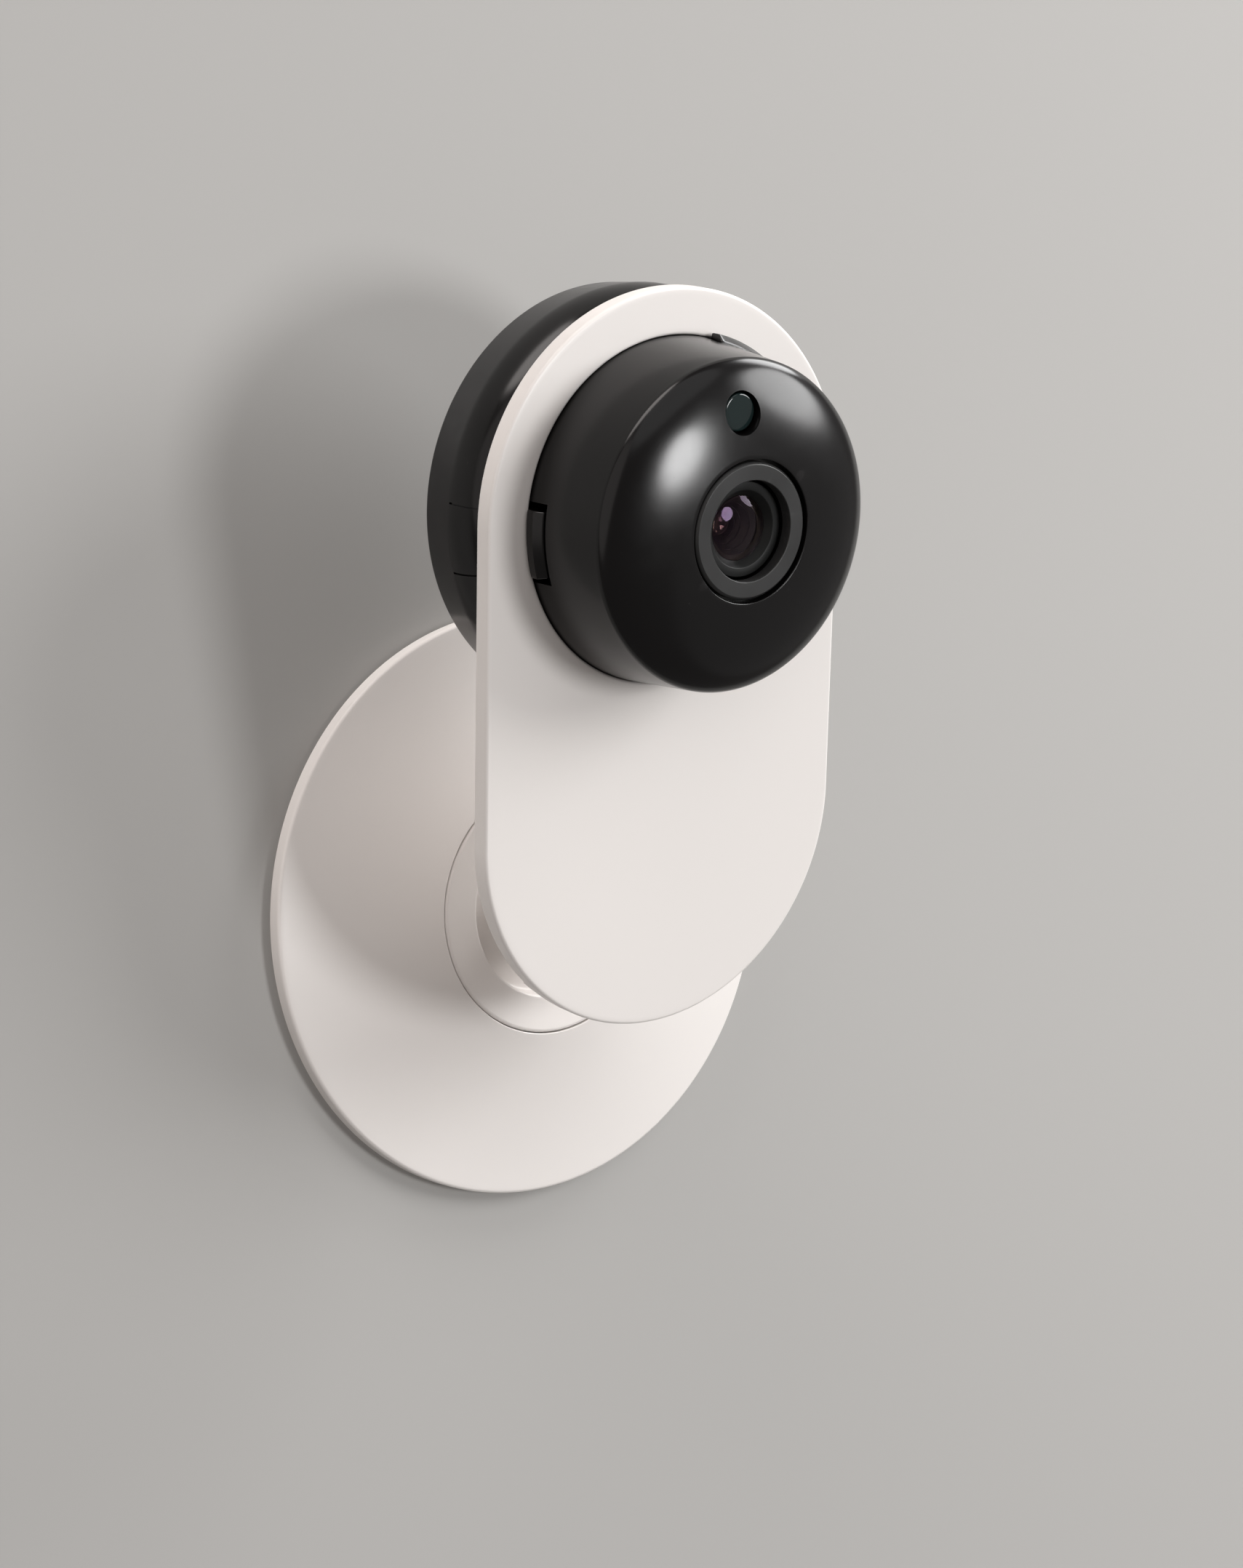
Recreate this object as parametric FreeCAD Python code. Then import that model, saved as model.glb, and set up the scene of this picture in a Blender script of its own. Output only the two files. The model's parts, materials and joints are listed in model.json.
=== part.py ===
import FreeCAD, Part
import math
import os

os.makedirs("parts", exist_ok=True)
V = FreeCAD.Vector

# Frame: origin at the middle of the base's back face, the wall is the plane y = 0.
# The lens looks along minus y, and plus z is up. Lengths are millimetres, angles are degrees.

# Pose at rest
tilt_angle = 9.58
camera_roll = 4.7

# Clearances shared by all pieces
running_gap = 0.08
easy_gap = 0.15
face_gap = 0.3
screw_gap = 0.05

# Round base on the wall
base_radius = 40.0
base_rim_height = 2.5
base_rim_standoff = 0.4
base_edge_bevel = 0.35
base_hub_height = 7.6
base_cone_sag = 0.5
base_underside_spans = 3
base_wall = 1.4
base_collar_wall = 1.6
base_rib_count = 6
base_rib_width = 1.2
base_pad_thickness = 0.8
base_cover_thickness = 0.8
base_pad_bevel = 0.2
base_cover_margin = 2.6
base_cover_screw_count = 3
base_cover_screw_angle = 90.0
base_boss_ratio = 2.6
base_boss_gap = 1.29
base_weight_inner_radius = 20.0
base_weight_thickness = 1.3
base_weight_headroom = 0.067

# Turntable in the middle of the base
turntable_radius = 17.2
turntable_edge_bevel = 0.4
turntable_rim_thickness = 1.95
turntable_spigot_radius = 13.3
turntable_ledge_thickness = 1.55
turntable_well_radius = 12.2
turntable_well_depth = 3.2
turntable_well_taper = 0.4
turntable_well_bevel = 0.25
retainer_radius = 15.5
retainer_thickness = 1.1
swivel_washer_thickness = 0.6
swivel_screw_spacing = 6.8

# Tilt hinge on the turntable's post
hinge_height = 19.5
hinge_above_end = 11.35
hinge_setback = 9.47
hinge_bolt_radius = 1.5
hinge_head_radius = 2.7
hinge_head_height = 1.2
hinge_socket_flats = 2.4
hinge_nut_flats = 5.5
hinge_nut_height = 1.4
hinge_washer_radius = 4.2
hinge_washer_thickness = 0.4
knuckle_radius = 5.0
knuckle_width = 5.6
ear_thickness = 3.0
post_radius = 5.0
post_foot_radius = 7.5
post_foot_height = 4.0

# Plate that carries the camera head
plate_half_width = 28.0
plate_centre_distance = 39.9
plate_thickness = 2.7
plate_edge_bevel = 0.35
heel_thickness = 1.6
heel_inset = 0.2
heel_lens_radius = 20.0
heel_lens_above_end = 1.9
heel_edge_slope = 0.5
arm_block_half_width = 7.5
arm_block_height = 11.0
arm_block_thickness = 2.2
arm_screw_spacing = 10.4
arm_screw_cover = 1.08

# Front shell: barrel through the plate, with a domed face
barrel_radius = 22.0
barrel_rear_depth = 5.0
barrel_wall = 1.75
barrel_taper = 1.1
dome_start = 11.9
dome_height = 4.5
dome_wall = 1.7
dome_rim_wall = 1.105
dome_crown_wall = 1.275
dome_bend_share = 0.9
notch_width = 10.2
notch_front = 3.0

# Snap hooks of the rear housing
hook_count = 3
hook_first_angle = 180.0
hook_width = 8.4
hook_thickness = 1.7
hook_front = 2.7
hook_bite = 0.8
hook_face_height = 1.35
slit_width = 0.25
slit_depth = 0.3

# Lens and its ring
bezel_radius = 8.56
bezel_groove = 0.42
bezel_bore_radius = 6.3
bezel_face = 15.85
bezel_seat = 14.3
bezel_bevel = 0.33
bezel_wall = 1.5
lens_barrel_radius = 6.0
lens_barrel_front = 14.15
lens_barrel_rear = 2.4
lens_front_rim = 4.86
lens_glass_radius = 4.05
lens_glass_edge = 13.3
lens_glass_crown = 0.65
lens_glass_thickness = 1.1
lens_glass_inner_crown = 0.39
lens_rear_glass_radius = 3.85
lens_rear_glass_thickness = 1.8
lens_rear_glass_crown = 0.45
lens_stop_radius = 3.3
lens_thread_gap = 0.05

# Dark window above the lens
window_inset = 6.3
window_hole_radius = 2.7
window_radius = 2.15
window_face = 14.1
window_flange_radius = 2.9
window_flange_seat = 12.0
window_flange_thickness = 0.8
window_rod_radius = 1.8
led_length = 3.2
led_width = 2.8
led_height = 1.7
led_lens_radius = 1.176

# Camera core behind the lens
sensor_board_front = 1.0
sensor_board_thickness = 1.2
sensor_boss_circle = 14.5
sensor_boss_radius = 1.9
board_boss_count = 3
board_boss_angle = 30.0
image_sensor_length = 9.0
image_sensor_width = 7.2
image_sensor_height = 0.95
holder_half_length = 10.7
holder_half_width = 6.0
holder_height = 3.2
holder_wall = 0.6
holder_collar_radius = 7.7
holder_collar_front = 9.0
holder_aperture_radius = 4.0
filter_travel = 6.6
filter_frame_length = 13.2
filter_frame_half_width = 4.5
filter_thickness = 0.8
filter_pane_width = 5.6
filter_pane_height = 7.0
coil_length = 8.0
coil_width = 3.2
coil_height = 4.2
mic_radius = 2.0
mic_height = 1.5
mic_depth = 5.0
mic_hole_radius = 0.6

# Rear housing behind the plate
housing_neck_margin = 1.5
housing_shoulder_width = 4.1
housing_edge_depth = 9.1
housing_shoulder_share = 0.71
housing_back_taper = 0.7
housing_back_depth = 14.3
housing_back_bevel = 0.9
housing_wall = 2.0
housing_flange_thickness = 1.4
housing_flange_bore = 15.5
shell_screw_inset = 3.3
shell_screw_bite = 4.9
shell_boss_radius = 1.6
shell_boss_length = 9.0

# Rear cover with the speaker grille
cover_frame_width = 2.2
cover_rim = 1.6
cover_rise = 2.0
cover_slope_width = 5.7
cover_wall = 1.5
cover_ledge_width = 1.4
cover_ledge_thickness = 1.0
cover_screw_inset = 2.8
cover_screw_count = 3
cover_screw_angle = 90.0
cover_screw_bite = 3.5
cover_boss_radius = 2.0
grille_hole_radius = 0.7
grille_pitch = 3.1
grille_rings = 2
speaker_offset = 6.0
speaker_radius = 10.0
speaker_depth = 3.0
speaker_edge = 0.3
speaker_cone_radius = 7.2
speaker_cap_radius = 3.24
speaker_magnet_radius = 5.0
speaker_magnet_depth = 1.0
speaker_ring_wall = 1.15
speaker_ring_depth = 2.5

# Main board and what is on it
main_board_margin = 0.6
main_board_thickness = 1.0
main_board_standoff = 2.6
standoff_inset = 1.4
standoff_radius = 1.9
shield_size = 14.0
shield_height = 1.8
shield_corner = 0.6
shield_offset = 2.0
usb_inset = 4.8
usb_length = 7.6
usb_width = 2.8
usb_wall = 0.35
usb_sink = 0.3
usb_mouth_depth = 4.5
usb_opening_margin = 0.4
card_slot_length = 12.5
card_slot_height = 1.2
card_socket_inner = 5.5
card_socket_inset = 0.9
card_socket_half_width = 6.2
card_socket_height = 1.5
card_socket_wall = 0.33
antenna_length = 12.0
antenna_width = 2.4
antenna_height = 0.8
antenna_inset = 2.7
flex_width = 8.0
flex_thickness = 0.3
flex_plug_offset = 9.5
flex_plug_length = 10.0
flex_plug_width = 3.0
flex_plug_height = 1.2
button_across = 9.5
button_down = 12.0
button_radius = 1.3
button_flange_radius = 2.1
button_flange_thickness = 0.7
button_sink = 0.2
button_travel = 0.5
button_tube_wall = 1.0
switch_size = 3.5
switch_height = 1.2
plunger_radius = 0.8
plunger_height = 0.5

# Screws
small_screw_radius = 0.7
medium_screw_radius = 0.85
large_screw_radius = 1.0
screw_head_ratio = 2.1
screw_head_height = 0.8
screw_socket_ratio = 1.4
screw_tip_gap = 0.7
socket_depth_ratio = 0.6


# Places worked out from the sizes above

origin = V(0, 0, 0)
x_axis = V(1, 0, 0)
y_axis = V(0, 1, 0)
z_axis = V(0, 0, 1)

hinge_depth = plate_thickness + hinge_setback
plate_end = plate_centre_distance + plate_half_width
hinge_drop = plate_end - hinge_above_end
heel_lens_drop = plate_end - heel_lens_above_end
dome_radius = barrel_radius - barrel_taper
window_offset = dome_radius - window_inset
shell_screw_circle = barrel_radius - shell_screw_inset
sensor_board_radius = shell_screw_circle - shell_boss_radius - face_gap
housing_neck_radius = barrel_radius + housing_neck_margin
housing_radius = housing_neck_radius + housing_shoulder_width
housing_back_radius = housing_radius - housing_back_taper
cover_radius = housing_back_radius - cover_frame_width
cover_face_radius = cover_radius - cover_slope_width
cover_screw_circle = cover_radius - cover_screw_inset
main_board_radius = cover_screw_circle - cover_boss_radius - main_board_margin
standoff_circle = main_board_radius - standoff_inset
usb_offset = main_board_radius - usb_inset
card_socket_outer = main_board_radius - card_socket_inset
antenna_offset = main_board_radius - antenna_inset
base_cover_radius = base_radius - base_cover_margin
base_boss_radius = medium_screw_radius * base_boss_ratio
shell_screw_angle = hook_first_angle + 180.0 / hook_count
cover_screw_hole = small_screw_radius + screw_gap
seat_radius = turntable_radius + easy_gap
collar_radius = seat_radius + base_collar_wall
cover_floor = base_pad_thickness + base_cover_thickness
retainer_floor = cover_floor + easy_gap
retainer_top = retainer_floor + retainer_thickness
ledge_bottom = retainer_top + swivel_washer_thickness + face_gap
ledge_top = ledge_bottom + turntable_ledge_thickness
ledge_bore = turntable_spigot_radius + running_gap
retainer_bore = retainer_radius + 2 * face_gap
turntable_underside = base_hub_height - turntable_rim_thickness
well_floor = base_hub_height - turntable_well_depth
plate_hole_radius = barrel_radius + running_gap
housing_front = plate_thickness + face_gap
flange_back = barrel_rear_depth + housing_flange_thickness
main_board_front = flange_back + main_board_standoff
main_board_back = main_board_front + main_board_thickness
sensor_board_back = sensor_board_front + sensor_board_thickness
cover_seat = housing_back_depth + housing_back_bevel - cover_rim
cover_rim_back = cover_seat + cover_rim
cover_back = cover_rim_back + cover_rise
cover_inner_face = cover_back - cover_wall
speaker_back = cover_inner_face - face_gap
button_flange_front = main_board_back + switch_height + plunger_height + button_travel + running_gap
button_flange_back = button_flange_front + button_flange_thickness
cavity_radius = housing_back_radius - housing_wall + easy_gap
filter_middle = sensor_board_front - image_sensor_height - face_gap - filter_thickness / 2


# Drawing tools

def path_wire(steps):
    """Closed wire through (x, y) points; a pair of points is an arc through the first to the second."""
    edges = []
    start = V(steps[0][0], steps[0][1], 0)
    last = start
    for step in steps[1:]:
        if isinstance(step[0], tuple):
            middle = V(step[0][0], step[0][1], 0)
            end = V(step[1][0], step[1][1], 0)
            edges.append(Part.Arc(last, middle, end).toShape())
        else:
            end = V(step[0], step[1], 0)
            edges.append(Part.LineSegment(last, end).toShape())
        last = end
    edges.append(Part.LineSegment(last, start).toShape())
    return Part.Wire(edges)


def turned(steps):
    """Solid of revolution about y from a profile of (radius, y)."""
    return Part.Face(path_wire(steps)).revolve(origin, y_axis, 360)


def turned_up(steps):
    """Solid of revolution about y from a profile of (radius, height above the wall)."""
    flipped = []
    for step in steps:
        if isinstance(step[0], tuple):
            flipped.append(((step[0][0], -step[0][1]), (step[1][0], -step[1][1])))
        else:
            flipped.append((step[0], -step[1]))
    return turned(flipped)


def bowl(radius, height, centre, inner):
    """Dome towards minus y: arcs along an ellipse, as steps from its rim to the radius inner."""
    end = math.acos(inner / radius)
    steps = []
    for index in range(3):
        middle = end * (index + 0.5) / 3
        stop = end * (index + 1) / 3
        steps.append(((radius * math.cos(middle), centre - height * math.sin(middle)),
                      (radius * math.cos(stop), centre - height * math.sin(stop))))
    return steps


def bowl_y(radius, height, centre, at):
    """The dome's y at the radius at."""
    return centre - height * math.sqrt(1 - (at / radius) ** 2)


def lens_arc(radius, edge, crown):
    """Half of a lens face, from its rim at y = edge to the axis, bulging by crown."""
    ball = (radius ** 2 + crown ** 2) / (2 * abs(crown))
    half = math.asin(radius / ball) / 2
    bulge = ball * (math.cos(half) - math.cos(2 * half))
    return ((ball * math.sin(half), edge + math.copysign(bulge, crown)), (0, edge + crown))


def rod(radius, start, end):
    """Cylinder between two points."""
    return Part.makeCylinder(radius, (end - start).Length, start, end - start)


def block(x0, x1, y0, y1, z0, z1):
    """Box between two corners."""
    return Part.makeBox(x1 - x0, y1 - y0, z1 - z0, V(x0, y0, z0))


def hex_rod(flats, start, end):
    """Hexagonal prism between two points."""
    corner = flats / math.sqrt(3)
    points = []
    for index in range(7):
        angle = math.radians(60 * index)
        points.append(V(corner * math.cos(angle), corner * math.sin(angle), 0))
    prism = Part.Face(Part.makePolygon(points)).extrude(V(0, 0, (end - start).Length))
    prism.Placement = FreeCAD.Placement(start, FreeCAD.Rotation(z_axis, end - start))
    return prism


def around(shape, angle):
    """Copy turned about y, counterclockwise as seen from the front."""
    copy = shape.copy()
    copy.rotate(origin, y_axis, -angle)
    return copy


def ring_of(shape, count, first):
    """List of copies spread evenly about y."""
    return [around(shape, first + 360 * index / count) for index in range(count)]


def fused(shape, others):
    """One solid from a shape and a list of shapes."""
    return shape.fuse(others).removeSplitter()


def cap_screw(radius, seat, tip, head_height=screw_head_height):
    """Screw with a round head that stands on seat, and a hexagonal socket."""
    away = (seat - tip).normalize()
    head_end = seat + away * head_height
    head = rod(radius * screw_head_ratio, seat, head_end)
    socket_floor = head_end - away * head_height * socket_depth_ratio
    socket = hex_rod(radius * screw_socket_ratio, socket_floor, head_end)
    return head.fuse(rod(radius, tip, seat)).removeSplitter().cut(socket)


def sunk_head(radius, face, tip):
    """Cone of a countersunk head whose flat top lies on face."""
    depth = radius * (screw_head_ratio - 1)
    inward = (tip - face).normalize()
    return Part.makeCone(radius * screw_head_ratio, radius, depth, face, inward)


def sunk_screw(radius, face, tip):
    """Countersunk screw with a hexagonal socket."""
    inward = (tip - face).normalize()
    depth = radius * (screw_head_ratio - 1)
    shank = rod(radius, face + inward * depth, tip)
    socket = hex_rod(radius * screw_socket_ratio, face, face + inward * depth * socket_depth_ratio)
    return sunk_head(radius, face, tip).fuse(shank).removeSplitter().cut(socket)


def sunk_hole(radius, face, tip):
    """Cutter for a countersunk screw."""
    wide = radius + screw_gap
    return sunk_head(wide, face, tip).fuse(rod(wide, face, tip))


def on_holder(shape):
    """From the plate's frame, with its origin in the hole on the front face, to the wall's frame."""
    placed = shape.copy()
    placed.translate(V(0, -hinge_depth, hinge_drop))
    placed.rotate(origin, x_axis, tilt_angle)
    placed.translate(V(0, -hinge_height, 0))
    return placed


def on_camera(shape):
    """From the camera head's frame to the wall's frame."""
    return on_holder(around(shape, camera_roll))


def save(name, shapes):
    """Write one node from one solid or a list of them."""
    if isinstance(shapes, list):
        shapes = Part.makeCompound(shapes)
    shapes.exportStep("parts/" + name + ".step")


# Base on the wall

def base_top(radius):
    """Height of the base's cone at a radius."""
    share = (base_radius - radius) / (base_radius - seat_radius)
    rise = (base_hub_height - base_rim_height) * share
    return base_rim_height + rise - 4 * base_cone_sag * share * (1 - share)


def cone_radius(height):
    """Radius at which the base's cone has a height."""
    bend = 4 * base_cone_sag
    slope = base_hub_height - base_rim_height - bend
    share = (math.sqrt(slope ** 2 + 4 * bend * (height - base_rim_height)) - slope) / (2 * bend)
    return base_radius - (base_radius - seat_radius) * share


def weight_reach():
    """Outer radius of the weight, as far as the cone leaves it its headroom."""
    return cone_radius(cover_floor + base_weight_thickness + base_weight_headroom + base_wall)


def base_arc(start, end):
    """Arc along the hollow cone from start to end."""
    middle = (start + end) / 2
    return [((middle, base_top(middle)), (end, base_top(end)))]


def base_underside(start, end, drop):
    """Straight spans below the hollow cone after start, sunk by drop."""
    points = []
    for index in range(1, base_underside_spans + 1):
        radius = start + (end - start) * index / base_underside_spans
        points.append((radius, base_top(radius) - drop))
    return points


def base_screw_points():
    """Outer face and tip of one cover screw."""
    circle = weight_reach() + base_boss_gap + base_boss_radius
    return V(circle, -base_pad_thickness, 0), V(circle, base_wall - base_top(circle), 0)


def around_base(shape):
    """Copies at the places of the cover screws."""
    return ring_of(shape, base_cover_screw_count, base_cover_screw_angle)


def make_base_disc():
    recess = base_cover_radius + easy_gap
    pocket = recess - base_wall
    bevel = base_edge_bevel
    rim_top = base_top(base_radius - bevel)
    profile = [
        (base_radius, base_rim_standoff),
        (base_radius, rim_top - bevel),
        (base_radius - bevel, rim_top)]
    profile += base_arc(base_radius - bevel, seat_radius)
    profile += [
        (seat_radius, ledge_top),
        (ledge_bore, ledge_top),
        (ledge_bore, ledge_bottom),
        (retainer_bore, ledge_bottom),
        (retainer_bore, cover_floor),
        (collar_radius, cover_floor),
        (collar_radius, base_top(collar_radius) - base_wall)]
    profile += base_underside(collar_radius, pocket, base_wall)
    profile += [(pocket, cover_floor), (recess, cover_floor), (recess, base_rim_standoff)]
    shell = turned_up(profile)
    rib_floor = cover_floor + base_weight_thickness + running_gap
    rib_start = collar_radius - running_gap
    outline = [(rib_start, rib_floor), (rib_start, base_top(rib_start) - base_wall / 2)]
    outline += base_underside(rib_start, weight_reach(), base_wall / 2)
    outline += [(weight_reach(), rib_floor)]
    rib = block(0, base_radius, -base_hub_height, 0, -base_rib_width / 2, base_rib_width / 2)
    rib = rib.common(turned_up(outline))
    face, tip = base_screw_points()
    boss = rod(base_boss_radius, V(face.x, -cover_floor, 0), V(tip.x, tip.y - base_wall / 2, 0))
    shell = fused(shell, ring_of(rib, base_rib_count, 0) + around_base(boss))
    return shell.cut(around_base(sunk_hole(medium_screw_radius, face, tip)))


def make_base_cover():
    cover = turned_up([(0, base_pad_thickness), (base_cover_radius, base_pad_thickness),
                       (base_cover_radius, cover_floor), (0, cover_floor)])
    face, tip = base_screw_points()
    return cover.cut(around_base(sunk_hole(medium_screw_radius, face, tip)))


def make_base_cover_screws():
    face, tip = base_screw_points()
    return around_base(sunk_screw(medium_screw_radius, face, tip))


def make_base_pad():
    radius = base_cover_radius - base_wall
    return turned_up([(0, 0), (radius - base_pad_bevel, 0), (radius, base_pad_bevel),
                      (radius, base_pad_thickness), (0, base_pad_thickness)])


def make_base_weight():
    top = cover_floor + base_weight_thickness
    return turned_up([(base_weight_inner_radius, cover_floor), (weight_reach(), cover_floor),
                      (weight_reach(), top), (base_weight_inner_radius, top)])


# Turntable, its retainer and the hinge's fixed side

def ear_inner():
    """Half the width of the slot between the two ears."""
    return knuckle_width / 2 + easy_gap + hinge_washer_thickness


def hinge_point(across):
    """Point on the hinge axis."""
    return V(across, -hinge_height, 0)


def swivel_screw_points():
    """Face and tip of one screw that holds the retainer."""
    across = swivel_screw_spacing / 2
    return V(across, -retainer_floor, 0), V(across, -well_floor - post_foot_height, 0)


def make_turntable():
    bevel = turntable_edge_bevel
    lip = turntable_well_bevel
    top = base_hub_height
    dish = turned_up([
        (0, retainer_top),
        (turntable_spigot_radius, retainer_top),
        (turntable_spigot_radius, turntable_underside),
        (turntable_radius, turntable_underside),
        (turntable_radius, top - bevel),
        (turntable_radius - bevel, top),
        (turntable_well_radius + lip, top),
        (turntable_well_radius, top - lip),
        (turntable_well_radius - turntable_well_taper, well_floor),
        (0, well_floor)])
    outer = ear_inner() + ear_thickness
    slot_floor = hinge_height - knuckle_radius - 2 * face_gap
    neck = well_floor + post_foot_height
    root = (retainer_top + well_floor) / 2
    waist = (post_radius + (post_foot_radius - post_radius) / 4, well_floor + post_foot_height / 2)
    foot = turned_up([(0, root), (post_foot_radius, root), (post_foot_radius, well_floor),
                      (waist, (post_radius, neck)), (0, neck)])
    yoke = turned_up([(0, root), (post_radius, root), (post_radius, neck), (outer, slot_floor),
                      (0, slot_floor)])
    yoke = yoke.common(block(-outer, outer, -slot_floor, 0, -knuckle_radius, knuckle_radius))
    ears = block(-outer, outer, -hinge_height, -slot_floor, -knuckle_radius, knuckle_radius)
    ears = ears.fuse(rod(knuckle_radius, hinge_point(-outer), hinge_point(outer)))
    body = fused(dish, [foot, yoke, ears])
    slot = block(-ear_inner(), ear_inner(), -hinge_height - 2 * knuckle_radius, -slot_floor,
                 -base_radius, base_radius)
    bore = rod(hinge_bolt_radius + screw_gap, hinge_point(-outer), hinge_point(outer))
    head = rod(hinge_head_radius + screw_gap, hinge_point(-outer), hinge_point(hinge_head_height - outer))
    nut_seat = hinge_point(outer - hinge_nut_height)
    nut = hex_rod(hinge_nut_flats + 2 * screw_gap, nut_seat, hinge_point(outer))
    face, tip = swivel_screw_points()
    holes = ring_of(rod(medium_screw_radius + screw_gap, face, tip), 2, 0)
    return body.cut([slot, bore, head, nut] + holes)


def make_swivel_retainer():
    disc = turned_up([(0, retainer_floor), (retainer_radius, retainer_floor),
                      (retainer_radius, retainer_top), (0, retainer_top)])
    face, tip = swivel_screw_points()
    return disc.cut(ring_of(sunk_hole(medium_screw_radius, face, tip), 2, 0))


def make_swivel_screws():
    face, tip = swivel_screw_points()
    return ring_of(sunk_screw(medium_screw_radius, face, tip), 2, 0)


def make_swivel_washer():
    inner = turntable_spigot_radius + face_gap
    top = retainer_top + swivel_washer_thickness
    return turned_up([(inner, retainer_top), (retainer_radius, retainer_top),
                      (retainer_radius, top), (inner, top)])


def make_hinge_bolt():
    outer = ear_inner() + ear_thickness
    head = rod(hinge_head_radius, hinge_point(-outer), hinge_point(hinge_head_height - outer))
    shank = rod(hinge_bolt_radius, hinge_point(hinge_head_height - outer), hinge_point(outer - easy_gap))
    socket = hex_rod(hinge_socket_flats, hinge_point(-outer),
                     hinge_point(hinge_head_height * socket_depth_ratio - outer))
    return head.fuse(shank).removeSplitter().cut(socket)


def make_hinge_nut():
    outer = ear_inner() + ear_thickness
    seat = hinge_point(outer - hinge_nut_height)
    nut = hex_rod(hinge_nut_flats, seat, hinge_point(outer))
    return nut.cut(rod(hinge_bolt_radius + screw_gap, seat, hinge_point(outer)))


def make_hinge_washers():
    washers = []
    for side in (-1, 1):
        near = hinge_point(side * ear_inner())
        far = hinge_point(side * (ear_inner() - hinge_washer_thickness))
        hole = rod(hinge_bolt_radius + screw_gap, far, near)
        washers.append(rod(hinge_washer_radius, far, near).cut(hole))
    return washers


# Plate and arm, in the plate's frame

def arm_screw_points():
    """Face and tip of one arm screw, in the plate's frame."""
    across = arm_screw_spacing / 2
    back = plate_thickness + heel_thickness + arm_block_thickness
    return V(across, back, -hinge_drop), V(across, arm_screw_cover, -hinge_drop)


def side_pair(shape):
    """A shape and its mirror image across the plane x = 0."""
    return [shape, shape.mirror(origin, x_axis)]


def make_holder_plate():
    half = plate_half_width
    low = -plate_centre_distance
    outline = Part.Wire([
        Part.Arc(V(half, 0, 0), V(0, 0, half), V(-half, 0, 0)).toShape(),
        Part.LineSegment(V(-half, 0, 0), V(-half, 0, low)).toShape(),
        Part.Arc(V(-half, 0, low), V(0, 0, low - half), V(half, 0, low)).toShape(),
        Part.LineSegment(V(half, 0, low), V(half, 0, 0)).toShape()])
    plate = Part.Face(outline).extrude(V(0, plate_thickness, 0))
    rims = [edge for edge in plate.Edges if abs(edge.BoundBox.YLength) < plate_thickness / 2]
    plate = plate.makeChamfer(plate_edge_bevel, rims)
    plate = plate.cut(rod(plate_hole_radius, V(0, -1, 0), V(0, plate_thickness + 1, 0)))
    face, tip = arm_screw_points()
    return plate.cut(side_pair(rod(large_screw_radius + screw_gap, face, tip)))


def make_hinge_arm():
    front = plate_thickness
    heel_back = front + heel_thickness
    block_back = heel_back + arm_block_thickness
    round_end = plate_half_width - heel_inset
    heel = rod(round_end, V(0, front, -plate_centre_distance), V(0, heel_back, -plate_centre_distance))
    lens_front = V(0, front, -heel_lens_drop)
    heel = heel.common(rod(heel_lens_radius, lens_front, V(0, heel_back, -heel_lens_drop)))
    back_edges = [edge for edge in heel.Edges if edge.BoundBox.YMin > heel_back - heel_thickness / 4]
    heel = heel.makeChamfer(heel_edge_slope, back_edges)
    half = arm_block_height / 2
    pad = block(-arm_block_half_width, arm_block_half_width, heel_back - heel_edge_slope, block_back,
                -hinge_drop - half, -hinge_drop + half)
    uprights = [edge for edge in pad.Edges if edge.BoundBox.YLength > arm_block_thickness / 2]
    pad = pad.makeFillet(heel_thickness, uprights)
    side = knuckle_width / 2
    web = block(-side, side, heel_back, hinge_depth,
                -hinge_drop - knuckle_radius, -hinge_drop + knuckle_radius)
    knuckle = rod(knuckle_radius, V(-side, hinge_depth, -hinge_drop), V(side, hinge_depth, -hinge_drop))
    arm = fused(heel, [pad, web, knuckle])
    bore = rod(hinge_bolt_radius + running_gap, V(-side, hinge_depth, -hinge_drop),
               V(side, hinge_depth, -hinge_drop))
    face, tip = arm_screw_points()
    return arm.cut([bore] + side_pair(sunk_hole(large_screw_radius, face, tip)))


def make_arm_screws():
    face, tip = arm_screw_points()
    return side_pair(sunk_screw(large_screw_radius, face, tip))


# Front shell of the camera head, in the camera's frame

def boss_points(circle, front, back):
    """Two points of an axis parallel to y, at a distance from the middle."""
    return V(circle, front, 0), V(circle, back, 0)


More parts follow.
